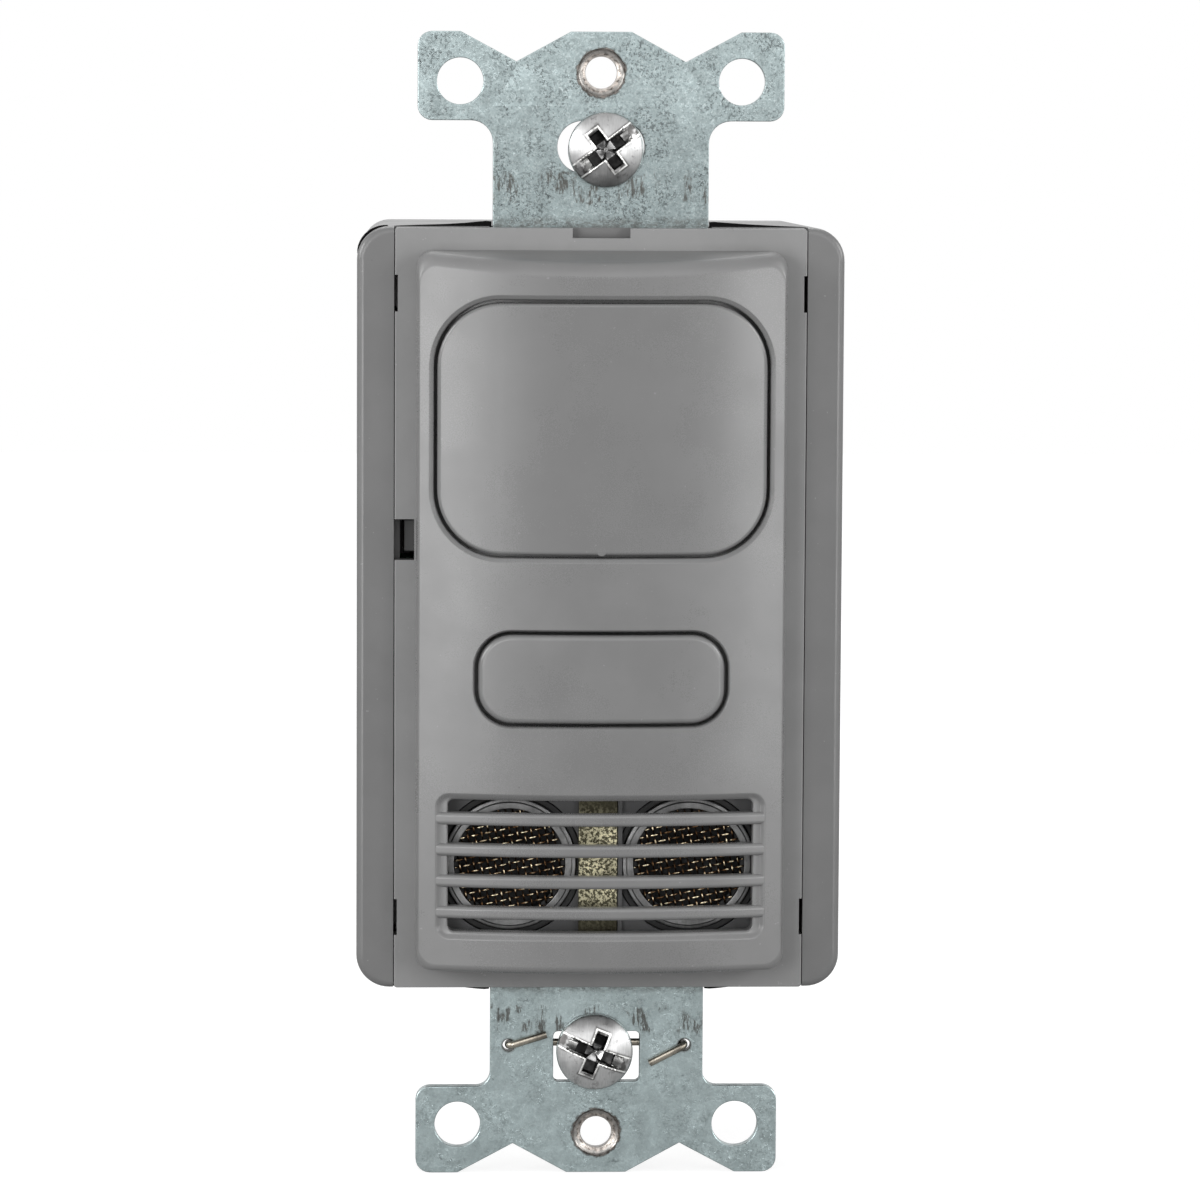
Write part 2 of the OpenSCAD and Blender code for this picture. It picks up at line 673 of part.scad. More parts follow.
module screw_retainer_wire() {
    front = -strap_t - wire_d / 2 - eps;
    rear = wire_d / 2 + eps;
    hole = wire_span / 2;
    bow_r = neck_d / 2 + wire_d / 2 + play;
    rise = lower_screw_z - wire_z;
    dip = asin(rise / bow_r);
    left_end = wire_end(-hole, front, wire_left_turn);
    left_front = [-hole, front, -wire_z];
    left_rear = [-hole, rear, -wire_z];
    bow_left = [lower_screw_x - bow_r * cos(dip), rear, -wire_z];
    bow_right = [lower_screw_x + bow_r * cos(dip), rear, -wire_z];
    right_rear = [hole, rear, -wire_z];
    right_front = [hole, front, -wire_z];
    right_end = wire_end(hole, front, wire_right_turn);
    bow_steps = 9;
    bow = [for (i = [1 : bow_steps - 1])
        let (t = 180 - dip - (180 - 2 * dip) * i / bow_steps)
        [lower_screw_x + bow_r * cos(t), rear, -lower_screw_z + bow_r * sin(t)]];
    color("tan") tube(concat(
        [left_end],
        corner(left_end, left_front, left_rear, wire_fold_r),
        corner(left_front, left_rear, bow_left, wire_fold_r),
        corner(left_rear, bow_left, bow[0], wire_fold_r / 2),
        bow,
        corner(bow[bow_steps - 2], bow_right, right_rear, wire_fold_r / 2),
        corner(bow_right, right_rear, right_front, wire_fold_r),
        corner(right_rear, right_front, right_end, wire_fold_r),
        [right_end]), wire_d, 10);
}

// Rear housing

// Thin rounded plate for the hulls of the housing
module housing_disc(y, w, h, r) {
    slab(y, y + eps) rounded(w, h, r, $fn = 32);
}

// Outer shape of the rear housing with its rounded front edge and its taper
module housing_outer() {
    steps = 3;
    hull() {
        for (i = [0 : steps]) {
            t = 90 * i / steps;
            inset = 2 * body_edge_r * (1 - sin(t));
            housing_disc(-flange_y + body_edge_r * (1 - cos(t)), body_w - inset, body_h - inset, body_r);
        }
        housing_disc(housing_depth - eps, body_w - 2 * housing_taper, body_h - 2 * housing_taper, body_r);
    }
}

// Hollow of the rear housing behind the strap
module housing_cavity() {
    corner_r = body_r - 1.8;
    hull() {
        housing_disc(frame_back, 2 * inner_x, 2 * inner_z, corner_r);
        housing_disc(back_y - eps, 2 * (inner_x - housing_taper), 2 * (inner_z - housing_taper), corner_r);
    }
}

module rear_housing() {
    slot_x = tongue_w / 2 + strap_frame_gap;
    rib_y0 = sensor_board_y + board_t;
    rib_y1 = power_board_y - 1;
    color(grey) {
        difference() {
            housing_outer();
            housing_cavity();
            block(-ledge_x, ledge_x, -flange_y - cut, -flange_back, -body_h, body_h);
            block(-ledge_x, ledge_x, -flange_back - eps, frame_back + eps, -inner_z, inner_z);
            block(-slot_x, slot_x, -flange_back - cut, frame_back, -body_h, body_h);
            for (i = [0 : 3]) rod((i - 1.5) * lead_hole_pitch, lead_hole_z, lead_hole_d / 2,
                back_y - cut, housing_depth + cut);
        }
        for (sx = [0, 1], i = [0 : rib_count - 1]) {
            z = -rib_span / 2 + rib_span * i / (rib_count - 1);
            mirror([sx, 0, 0])
                block(inner_x - rib_w, inner_x + weld, rib_y0, rib_y1, z - rib_t / 2, z + rib_t / 2);
        }
        for (sx = [0, 1], sz = [0, 1]) mirror([sx, 0, 0]) mirror([0, 0, sz]) {
            block(post_x, inner_x + weld, frame_back, back_y + weld, post_z, inner_z + weld);
            rod(spacer_span_x / 2, spacer_span_z / 2, spacer_d / 2 + 0.5, power_board_y + board_t,
                back_y + weld);
        }
    }
}

// Front cover

// Rings of the raised face: the wall from the flange and the rounded front edge
function face_rings() =
    let (zh = face_h / 2, zl = -face_h / 2)
    concat(
        [flat_ring(outline(face_w, zl, zh, face_corner_r), -flange_y + 0.5)],
        [flat_ring(outline(face_w, zl, zh, face_corner_r), -flange_y)],
        [for (i = [0 : edge_steps])
            let (t = 90 * i / edge_steps,
                pts = outline(face_w - 2 * side_edge_r * (1 - cos(t)), zl + bottom_edge_r * (1 - cos(t)),
                    zh - top_edge_r * (1 - cos(t)), face_corner_r, face_dip))
            [for (p = pts)
                let (k = min(1, max(0, (p[1] - zh + 4) / 2)),
                    m = min(1, max(0, (zl + 3 - p[1]) / 2)),
                    r = side_edge_r + (top_edge_r - side_edge_r) * k + (bottom_edge_r - side_edge_r) * m)
                [p[0], face_y(p[0]) + r * (1 - sin(t)), p[1]]]]);

// Straight hole through the face, in line with Y
module opening(w, h, z, r) {
    translate([0, 0, z]) slab(-face_rise - cut, 0) rounded(w, h, r);
}

// Chamfer that follows the curved face around an opening
module rim(w, h, z, r, grow) {
    loft([for (step = [[-play, rim_d], [grow, 0], [grow + 2 * play, -0.3]])
        face_ring(grown(w, h, z, r, step[0]), step[1])]);
}

// One louvre bar, bent to the curve of the face, with a round front
module louvre(z) {
    reach = asin((recess_w / 2 + weld / 2) / face_radius);
    translate([0, face_axis_y, z]) rotate([0, 0, -90 - reach])
        rotate_extrude(angle = 2 * reach, $fn = 180) {
            translate([face_radius - bar_depth, -bar_t / 2]) square([bar_depth - bar_t / 2, bar_t]);
            translate([face_radius - bar_t / 2, 0]) circle(d = bar_t, $fn = 24);
        }
}

// Snap arm that hooks behind the housing's ledge, on the right side
module latch(z) {
    arm_t = 1.1;
    arm_x = ledge_x - 0.26;
    hook_x = inner_x - 0.06;
    block(arm_x - arm_t, arm_x, -flange_back - weld, frame_back + 1.6, z - latch_half, z + latch_half);
    block(arm_x - weld, hook_x, frame_back + 0.1, frame_back + 1.2, z - latch_half, z + latch_half);
}

module front_cover() {
    recess_draft = 0.3;
    color(grey) {
        difference() {
            union() {
                block(-cover_w / 2, cover_w / 2, -flange_y, -flange_back, -body_h / 2, body_h / 2);
                loft(face_rings());
            }
            intersection() {
                block(-cavity_w / 2, cavity_w / 2, -face_rise, 0, -cavity_h / 2, cavity_h / 2);
                translate([0, face_axis_y, -face_h]) cylinder(r = cavity_radius, h = 2 * face_h, $fn = 360);
            }
            opening(lens_open_w, lens_open_h, lens_z, lens_open_r);
            rim(lens_open_w, lens_open_h, lens_z, lens_open_r, rim_w);
            opening(button_open_w, button_open_h, button_z, button_open_r);
            rim(button_open_w, button_open_h, button_z, button_open_r, rim_w / 3);
            opening(grille_w, grille_h, grille_z, grille_r);
            loft([for (step = [[-recess_draft, recess_d], [0, 0], [recess_draft / 3, -recess_d / 3]])
                face_ring(grown(recess_w, recess_h, grille_z, recess_r, step[0]), step[1])]);
            block(-cover_w / 2 - cut, -cover_w / 2 + cell_window_w, -flange_y - cut, 0,
                cell_z - cell_window_h / 2, cell_z + cell_window_h / 2);
            block(-top_notch_w / 2, top_notch_w / 2, -flange_y - cut, 0, body_h / 2 - top_notch_h, body_h);
            for (sx = [-1, 1], z = latch_zs) translate([sx * cover_w / 2, 0, 0])
                block(-0.3, 0.3, -flange_y - cut, 0, z - latch_slot_h / 2, z + latch_slot_h / 2);
        }
        for (i = [0 : bar_count - 1]) louvre(grille_z + (i - (bar_count - 1) / 2) * bar_pitch);
        for (sx = [0, 1], z = latch_zs) mirror([sx, 0, 0]) latch(z);
    }
}

// Lens and push button

module infrared_lens() {
    w = lens_open_w - 2 * lens_gap;
    h = lens_open_h - 2 * lens_gap;
    r = lens_open_r - lens_gap;
    lip_w = cavity_w - 4 * play;
    lip_h = lens_open_h + 2 * lens_lip;
    lip_y = front_wall + 2 * play;
    edge = lens_edge_r;
    color([0.55, 0.55, 0.54]) difference() {
        loft(concat(
            [for (sink = [lip_y + lens_t, lip_y]) face_ring(grown(lip_w, lip_h, lens_z, r, 0), sink)],
            [for (step = [[0, lip_y], [0, edge], [-edge / 2, edge / 4], [-edge, 0]])
                face_ring(grown(w, h, lens_z, r, step[0]), step[1])]));
        loft([for (sink = [lip_y + lens_t + cut, lens_t]) face_ring(grown(w, h, lens_z, r, -lens_t), sink)]);
    }
}

module push_button() {
    w = button_open_w - 2 * button_gap;
    h = button_open_h - 2 * button_gap;
    r = button_open_r - button_gap;
    edge = button_edge_r;
    web_front = collar_front - 1.2;
    color(grey) {
        difference() {
            union() {
                loft(concat(
                    [flat_ring(grown(w, h, button_z, r, 0), collar_front + eps)],
                    [for (step = [[0, edge], [-0.3 * edge, 0.3 * edge], [-edge, 0]])
                        face_ring(grown(w, h, button_z, r, step[0]), step[1])]));
                translate([0, 0, button_z]) slab(collar_front, collar_back) rounded(collar_w, collar_h, r);
            }
            translate([0, 0, button_z]) slab(collar_front - cut, collar_back + cut)
                rounded(w - 2 * button_wall, h - 2 * button_wall, r - button_wall);
        }
        rod(0, button_z, button_stem_d / 2, web_front, tact_tip_y);
        block(-w / 2 + button_wall / 2, w / 2 - button_wall / 2, web_front, collar_back, button_z - 0.5,
            button_z + 0.5);
    }
}

module button_switch() {
    body_y = sensor_board_y - tact_h;
    tact_floor_y = sensor_board_y - 0.8;
    color([0.12, 0.12, 0.12]) difference() {
        block(-tact_size / 2, tact_size / 2, body_y, sensor_board_y, button_z - tact_size / 2,
            button_z + tact_size / 2);
        rod(0, button_z, tact_plunger_d / 2 + play, body_y - cut, tact_floor_y);
    }
}

module button_switch_plunger() {
    color([0.2, 0.2, 0.2])
        rod(0, button_z, tact_plunger_d / 2, tact_tip_y + eps, sensor_board_y - 0.9 - button_travel);
}

// Ultrasonic transducers and what holds them

module transducer_carrier() {
    wall = 1.6;
    color([0.42, 0.42, 0.42]) difference() {
        block(-carrier_w / 2, carrier_w / 2, -carrier_y, frame_front - eps, carrier_zl, carrier_zh);
        block(-carrier_w / 2 + wall, carrier_w / 2 - wall, -carrier_y + carrier_t, cut, carrier_zl + wall,
            carrier_zh - wall);
        for (sx = [-1, 1]) rod(sx * can_span / 2, can_z, boot_od / 2 + play, -carrier_y - cut, cut);
    }
}

module transducer_retainer() {
    front = -carrier_y - retainer_t - eps;
    color([0.6, 0.56, 0.36]) {
        block(-retainer_w / 2, retainer_w / 2, front, front + retainer_t, carrier_zl - retainer_t - eps,
            carrier_zh + retainer_t + eps);
        for (z = [carrier_zl - retainer_t - eps, carrier_zh + eps])
            block(-retainer_w / 2, retainer_w / 2, front, frame_front - eps, z, z + retainer_t);
    }
}

// Metal can with an open mouth, a resonator cone inside and two pins
module transducer_can(x) {
    mesh_back = mesh_sink + mesh_t;
    cone_gap = 0.3;
    color([0.5, 0.5, 0.5]) {
        difference() {
            rod(x, can_z, can_d / 2, -can_y, -can_y + can_len);
            rod(x, can_z, mouth_d / 2 + eps, -can_y - cut, -can_y + mesh_back + eps);
            rod(x, can_z, mouth_d / 2 - weld, -can_y - cut, -can_y + mouth_t);
        }
        translate([x, -can_y + mouth_t + eps, can_z]) rotate([90, 0, 0])
            cylinder(r1 = 0.08 * mouth_d, r2 = 0.28 * mouth_d, h = mouth_t - mesh_back - cone_gap);
        for (sx = [-1, 1]) rod(x + sx * can_pin_span / 2, can_z, can_pin_d / 2, -can_y + can_len - eps,
            sensor_board_y + board_t + can_pin_d);
    }
}

module transmitter_can() {
    transducer_can(-can_span / 2);
}

module receiver_can() {
    transducer_can(can_span / 2);
}

// Rubber sleeve around a can
module boot(x) {
    color([0.1, 0.1, 0.1]) difference() {
        rod(x, can_z, boot_od / 2, -carrier_y, -carrier_y + boot_len);
        rod(x, can_z, can_d / 2 + eps, -can_y - cut, can_len);
    }
}

module transmitter_boot() {
    boot(-can_span / 2);
}

module receiver_boot() {
    boot(can_span / 2);
}

// Disc of wire mesh in a can's mouth
module mesh_disc(x) {
    color([0.45, 0.33, 0.2]) rod(x, can_z, mouth_d / 2, -can_y + mesh_sink, -can_y + mesh_sink + mesh_t);
}

module transmitter_mesh() {
    mesh_disc(-can_span / 2);
}

module receiver_mesh() {
    mesh_disc(can_span / 2);
}

// Photocell set button and its switch

module photocell_set_button() {
    color([0.2, 0.2, 0.2]) block(cell_x - cell_button_w / 2, cell_x + cell_button_w / 2, -cell_button_tip,
        cell_button_back, cell_z - cell_button_h / 2, cell_z + cell_button_h / 2);
}

module photocell_set_switch() {
    wall_t = 0.5;
    bore_w = cell_button_w + 2 * play;
    bore_h = cell_button_h + 2 * play;
    height = 3;
    color([0.12, 0.12, 0.12]) difference() {
        block(cell_x - bore_w / 2 - wall_t, cell_x + bore_w / 2 + wall_t, sensor_board_y - height,
            sensor_board_y, cell_z - bore_h / 2 - wall_t, cell_z + bore_h / 2 + wall_t);
        block(cell_x - bore_w / 2, cell_x + bore_w / 2, 0, cell_button_back + cell_travel + 0.2,
            cell_z - bore_h / 2, cell_z + bore_h / 2);
    }
}

// Electronics

// Round component on the sensor board, with a rim at its foot
module round_part(x, z, d, h) {
    rod(x, z, d / 2, sensor_board_y - h, sensor_board_y);
    rod(x, z, d / 2 + base_rim, sensor_board_y - 2 * base_rim, sensor_board_y);
}

module infrared_detector() {
    front = sensor_board_y - detector_h;
    color([0.7, 0.7, 0.68]) difference() {
        round_part(0, lens_z, detector_d, detector_h);
        translate([0, 0, lens_z]) slab(front - cut, front + 0.2) square(detector_window, center = true);
    }
}

module light_sensor() {
    color([0.8, 0.8, 0.75]) round_part(0, lens_z - light_sensor_drop, light_sensor_d, light_sensor_h);
}

module status_lamps() {
    z = lens_z - lamp_drop;
    color([0.85, 0.3, 0.25]) for (sx = [-1, 1]) {
        round_part(sx * lamp_span / 2, z, lamp_d, lamp_h);
        translate([sx * lamp_span / 2, sensor_board_y - lamp_h, z]) sphere(d = lamp_d);
    }
}

module sensor_board() {
    color([0.1, 0.35, 0.2]) difference() {
        slab(sensor_board_y, sensor_board_y + board_t) square([sensor_board_w, sensor_board_h], center = true);
        for (sx = [-1, 1], px = [-1, 1]) rod(sx * can_span / 2 + px * can_pin_span / 2, can_z,
            can_pin_d / 2 + 2 * play, sensor_board_y - cut, sensor_board_y + board_t + cut);
    }
}

module power_board() {
    color([0.1, 0.35, 0.2]) slab(power_board_y, power_board_y + board_t)
        square([power_board_w, power_board_h], center = true);
}

module board_spacers() {
    color("ivory") for (sx = [-1, 1], sz = [-1, 1])
        rod(sx * spacer_span_x / 2, sz * spacer_span_z / 2, spacer_d / 2, sensor_board_y + board_t,
            power_board_y);
}

module board_connector() {
    half = connector_pins * connector_pitch / 2;
    z = -connector_drop;
    pin = 0.32;
    color([0.15, 0.15, 0.15]) {
        for (y = [sensor_board_y + board_t, power_board_y - connector_base])
            block(-half, half, y, y + connector_base, z - connector_pitch / 2, z + connector_pitch / 2);
        for (i = [0 : connector_pins - 1]) translate([(i + 0.5) * connector_pitch - half, 0, z])
            block(-pin, pin, sensor_board_y + board_t + pin, power_board_y - pin, -pin, pin);
    }
}

// Block on the power board, given by its middle and its width, depth and height
module board_block(x, z, size) {
    block(x - size[0] / 2, x + size[0] / 2, power_board_y - size[1], power_board_y, z - size[2] / 2,
        z + size[2] / 2);
}

module relay() {
    color([0.15, 0.2, 0.5]) board_block(-relay_x, relay_z, relay_size);
}

module electrolytic_capacitor() {
    color([0.2, 0.2, 0.25])
        rod(parts_x, can_cap_z, can_cap_d / 2, power_board_y - can_cap_len, power_board_y);
}

module film_capacitor() {
    color([0.7, 0.6, 0.2]) board_block(parts_x, film_cap_z, film_cap_size);
}

module power_transformer() {
    w = transformer_size[0];
    d = transformer_size[1];
    h = transformer_size[2];
    color([0.3, 0.3, 0.3]) board_block(parts_x, -transformer_drop, [w, d, h - 2 * core_w]);
    color([0.7, 0.5, 0.2]) translate([0, -0.75 * core_w, 0])
        board_block(parts_x, -transformer_drop, [w - 2 * core_w, d - 1.5 * core_w, h]);
}

mounting_strap();
rear_housing();
front_cover();
infrared_lens();
push_button();
button_switch();
button_switch_plunger();
transducer_carrier();
transducer_retainer();
transmitter_can();
receiver_can();
transmitter_boot();
receiver_boot();
transmitter_mesh();
receiver_mesh();
photocell_set_button();
photocell_set_switch();
infrared_detector();
light_sensor();
status_lamps();
sensor_board();
power_board();
board_spacers();
board_connector();
relay();
electrolytic_capacitor();
film_capacitor();
power_transformer();
upper_mounting_screw();
lower_mounting_screw();
screw_retainer_wire();
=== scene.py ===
import sys

import logging
import math
from dataclasses import dataclass, field
from enum import Enum
from typing import Callable, Iterable, Sequence

import bmesh
import bpy
from mathutils import Matrix, Vector


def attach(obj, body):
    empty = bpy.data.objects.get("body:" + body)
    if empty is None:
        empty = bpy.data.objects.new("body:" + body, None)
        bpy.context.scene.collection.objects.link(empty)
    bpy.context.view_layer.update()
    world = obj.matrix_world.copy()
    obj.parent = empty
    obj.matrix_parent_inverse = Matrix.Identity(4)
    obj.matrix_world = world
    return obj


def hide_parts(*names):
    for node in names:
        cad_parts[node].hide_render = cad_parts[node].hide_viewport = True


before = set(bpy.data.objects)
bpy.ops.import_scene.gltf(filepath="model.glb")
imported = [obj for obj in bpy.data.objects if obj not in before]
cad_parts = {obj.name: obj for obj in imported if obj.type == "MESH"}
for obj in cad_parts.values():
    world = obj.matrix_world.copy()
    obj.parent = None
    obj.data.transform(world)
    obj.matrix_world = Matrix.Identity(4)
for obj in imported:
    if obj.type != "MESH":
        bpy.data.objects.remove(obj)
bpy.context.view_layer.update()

LOG = logging.getLogger("wall_switch")
MM = 0.001
SIDES = (-1, 1)
Point2 = tuple[float, float]
Point3 = tuple[float, float, float]
Node, Socket, Piece = bpy.types.Node, bpy.types.NodeSocket, bpy.types.Object


# Shared sizes of the solids, in millimetres

@dataclass(frozen=True)
class BodySizes:
    """Sizes that several pieces share, in millimetres and in the frame of the solids."""

    strap_len: float = 104.2
    strap_t: float = 1.3
    plate_hole_z: float = 48.42
    plate_hole_r: float = 1.43
    wire_hole: Point2 = (8.05, -40.3)
    upper_screw: Point2 = (0.4, 41.5)
    lower_screw: Point2 = (-0.2, -40.82)
    body_w: float = 44.0
    body_h: float = 69.2
    flange_y: float = -3.3
    flange_back: float = -1.3
    cover_w: float = 37.04
    ledge_x: float = 18.66
    face_w: float = 33.3
    face_h: float = 65.0
    face_radius: float = 60.0
    face_axis_y: float = 51.0
    front_wall: float = 1.8
    lens_z: float = 16.7
    button_z: float = -5.78
    grille_z: float = -22.8
    can_x: float = 8.13
    can_z: float = -23.0
    cell_z: float = 6.35

    def face_y(self, x: float) -> float:
        """Y of the curved face at a distance x from its middle."""
        return self.face_axis_y - math.sqrt(self.face_radius ** 2 - x * x)


BODY = BodySizes()


# Node trees

class Value:
    """A number or a colour inside a node tree, with plain arithmetic."""

    def __init__(self, graph: "NodeGraph", socket: Socket) -> None:
        """Keeps the tree and the socket that gives the value."""
        self.graph, self.socket = graph, socket

    def __add__(self, other: object) -> "Value":
        """Sum."""
        return self.graph.math("ADD", self, other)

    def __sub__(self, other: object) -> "Value":
        """Difference."""
        return self.graph.math("SUBTRACT", self, other)

    def __mul__(self, other: object) -> "Value":
        """Product."""
        return self.graph.math("MULTIPLY", self, other)

    def __truediv__(self, other: object) -> "Value":
        """Quotient."""
        return self.graph.math("DIVIDE", self, other)

    def __abs__(self) -> "Value":
        """Value without its sign."""
        return self.graph.math("ABSOLUTE", self)

    def band(self, low: float, high: float, start: float = 0.0, end: float = 1.0) -> "Value":
        """Maps low..high smoothly onto start..end, and keeps to start and end beyond."""
        ends = {"From Min": low, "From Max": high, "To Min": start, "To Max": end}
        return self.graph.value("ShaderNodeMapRange", {"Value": self, **ends}, interpolation_type="SMOOTHSTEP")


class NodeGraph:
    """Adds and wires the nodes of a shader tree or a geometry tree."""

    def __init__(self, tree: bpy.types.NodeTree) -> None:
        """Keeps the tree that the nodes go into."""
        self.tree = tree

    def put(self, value: object, target: Socket) -> None:
        """Wires a value to an input, or sets the input to it.

        Args:
            value: Node, socket, Value or plain value.
            target: The input.
        """
        value = value.outputs[0] if isinstance(value, Node) else getattr(value, "socket", value)
        if isinstance(value, Socket):
            self.tree.links.new(value, target)
        else:
            target.default_value = value

    def add(self, kind: str, inputs: dict | None = None, **settings: object) -> Node:
        """Adds a node.

        Args:
            kind: Blender's name of the node type.
            inputs: What its inputs get, by name or number.
            settings: Properties of the node.

        Returns:
            The new node.
        """
        node = self.tree.nodes.new(kind)
        for name, setting in settings.items():
            setattr(node, name, setting)
        for key, value in (inputs or {}).items():
            self.put(value, node.inputs[key])
        return node

    def value(self, kind: str, inputs: dict | None = None, output: int | str = 0, **settings: object) -> Value:
        """Adds a node and gives one of its outputs."""
        return Value(self, self.add(kind, inputs, **settings).outputs[output])

    def math(self, operation: str, a: object, b: object = 0.0) -> Value:
        """Result of one operation on two values."""
        return self.value("ShaderNodeMath", {0: a, 1: b}, operation=operation)

    def vector(self, x: object = 0.0, y: object = 0.0, z: object = 0.0) -> Value:
        """Vector of three values."""
        return self.value("ShaderNodeCombineXYZ", {0: x, 1: y, 2: z})


class ShaderGraph(NodeGraph):
    """Patterns on Object coordinates, counted in millimetres, and how they are mixed."""

    def __init__(self, tree: bpy.types.NodeTree) -> None:
        """Adds the coordinates that every pattern reads.

        Args:
            tree: Tree of a material.
        """
        super().__init__(tree)
        metres = self.value("ShaderNodeTexCoord", output="Object")
        self.place = self.value("ShaderNodeVectorMath", {0: metres, 1: (1 / MM,) * 3}, operation="MULTIPLY")
        split = self.add("ShaderNodeSeparateXYZ", {0: self.place})
        self.x, self.y, self.z = (Value(self, output) for output in split.outputs)

    def noise(self, size: float, detail: float = 3.0, roughness: float = 0.55,
              stretch: Point3 = (1.0, 1.0, 1.0), shift: float = 0.0) -> Value:
        """Cloudy noise.

        Args:
            size: Size of its patches in millimetres.
            detail: Number of finer layers.
            roughness: Strength of the finer layers.
            stretch: How much longer the patches are along each axis.
            shift: Moves the pattern, so that two of them differ.

        Returns:
            The noise value, mostly between 0.3 and 0.7.
        """
        mapped = self.add("ShaderNodeMapping", {"Vector": self.place, "Location": (shift, shift * 0.7, -shift),
                                                "Scale": tuple(1.0 / (size * s) for s in stretch)})
        return self.value("ShaderNodeTexNoise", {"Vector": mapped, "Scale": 1.0, "Detail": detail,
                                                 "Roughness": roughness})

    def reach(self, across: Value, along: Value) -> Value:
        """Distance from an axis, from the two offsets."""
        return self.math("SQRT", across * across + along * along)

    @staticmethod
    def rgba(colour: object) -> object:
        """Adds the alpha to a plain colour."""
        return (*colour, 1.0) if isinstance(colour, tuple) and len(colour) == 3 else colour

    def mix(self, share: object, a: object, b: object) -> Value:
        """Mixes two colours by a share."""
        return self.value("ShaderNodeMix", {0: share, 6: self.rgba(a), 7: self.rgba(b)}, 2, data_type="RGBA")

    def shade(self, colour: object, factor: Value) -> Value:
        """Multiplies a colour by a grey factor."""
        return self.value("ShaderNodeVectorMath", {0: colour, 1: factor}, operation="MULTIPLY")

    def bump(self, height: Value, depth: float, before: Node | None = None) -> Node:
        """Bump of a height pattern, from 0 to a depth in millimetres, over the bump before it."""
        over = {} if before is None else {"Normal": before}
        return self.add("ShaderNodeBump", {"Height": height, "Strength": 1.0, "Distance": depth * MM, **over})

    def surface(self, colour: Value, roughness: Value, normal: Node, **constants: float) -> None:
        """Ends the tree in a Principled shader.

        Args:
            colour: Base colour.
            roughness: Roughness.
            normal: Bump.
            constants: Plain values of other inputs, with underscores for spaces.
        """
        plain = {name.replace("_", " "): value for name, value in constants.items()}
        shader = self.add("ShaderNodeBsdfPrincipled",
                          {"Base Color": colour, "Roughness": roughness, "Normal": normal, **plain})
        self.add("ShaderNodeOutputMaterial", {"Surface": shader})


# Finishes

def grey(level: float) -> Point3:
    """Neutral colour."""
    return (level, level, level)


@dataclass(frozen=True)
class Finish:
    """A finish that paints one material, made once and shared."""

    name: str

    def material(self) -> bpy.types.Material:
        """The material of this finish.

        Returns:
            The material, made at the first call.
        """
        found = bpy.data.materials.get(self.name)
        if found is None:
            found = bpy.data.materials.new(self.name)
            found.use_nodes = True
            found.node_tree.nodes.clear()
            self.paint(ShaderGraph(found.node_tree))
        return found

    def paint(self, graph: ShaderGraph) -> None:
        """Draws the node tree of the finish.

        Args:
            graph: Empty tree with its coordinates.
        """
        raise NotImplementedError


@dataclass(frozen=True)
class MouldedPlastic(Finish):
    """Smooth moulded plastic with a faint grain, soft mottling and a few scuffs."""

    colour: Point3 = grey(0.2)
    roughness: float = 0.3
    grain: float = 0.09
    grain_depth: float = 0.0015
    mottle: float = 0.05
    scuffs: float = 1.0
    shine: float = 0.5
    scuff_tone: float = 0.25
    dust_tone: float = 1.9

    def paint(self, graph: ShaderGraph) -> None:
        """Draws mottling, specks, grain and a slow waviness.

        Args:
            graph: Empty tree with its coordinates.
        """
        tone = graph.noise(6.0, 4.0).band(0.3, 0.7, 1.0 - self.mottle, 1.0 + self.mottle)
        colour = graph.shade(self.colour, tone)
        specks = graph.noise(0.55, 2.0, shift=7.0).band(0.735, 0.79)
        patches = graph.noise(14.0, 2.0, shift=3.0).band(0.5, 0.62)
        scuffed = tuple(self.scuff_tone * c for c in self.colour)
        colour = graph.mix(specks * patches * (0.55 * self.scuffs), colour, scuffed)
        dust = graph.noise(0.4, 1.0, shift=21.0).band(0.77, 0.8)
        dusty = tuple(min(1.0, self.dust_tone * c) for c in self.colour)
        colour = graph.mix(dust * (0.35 * self.scuffs), colour, dusty)
        fine = graph.noise(self.grain, 2.0, shift=1.0)
        wear = graph.noise(9.0, 5.0, shift=11.0).band(0.35, 0.7, -0.03, 0.05)
        roughness = wear + self.roughness + fine.band(0.3, 0.7, -0.02, 0.02)
        waves = graph.bump(graph.noise(7.0, 1.0, shift=5.0), 0.02)
        graph.surface(colour, roughness, graph.bump(fine, self.grain_depth, waves), IOR=1.5,
                      Specular_IOR_Level=self.shine)


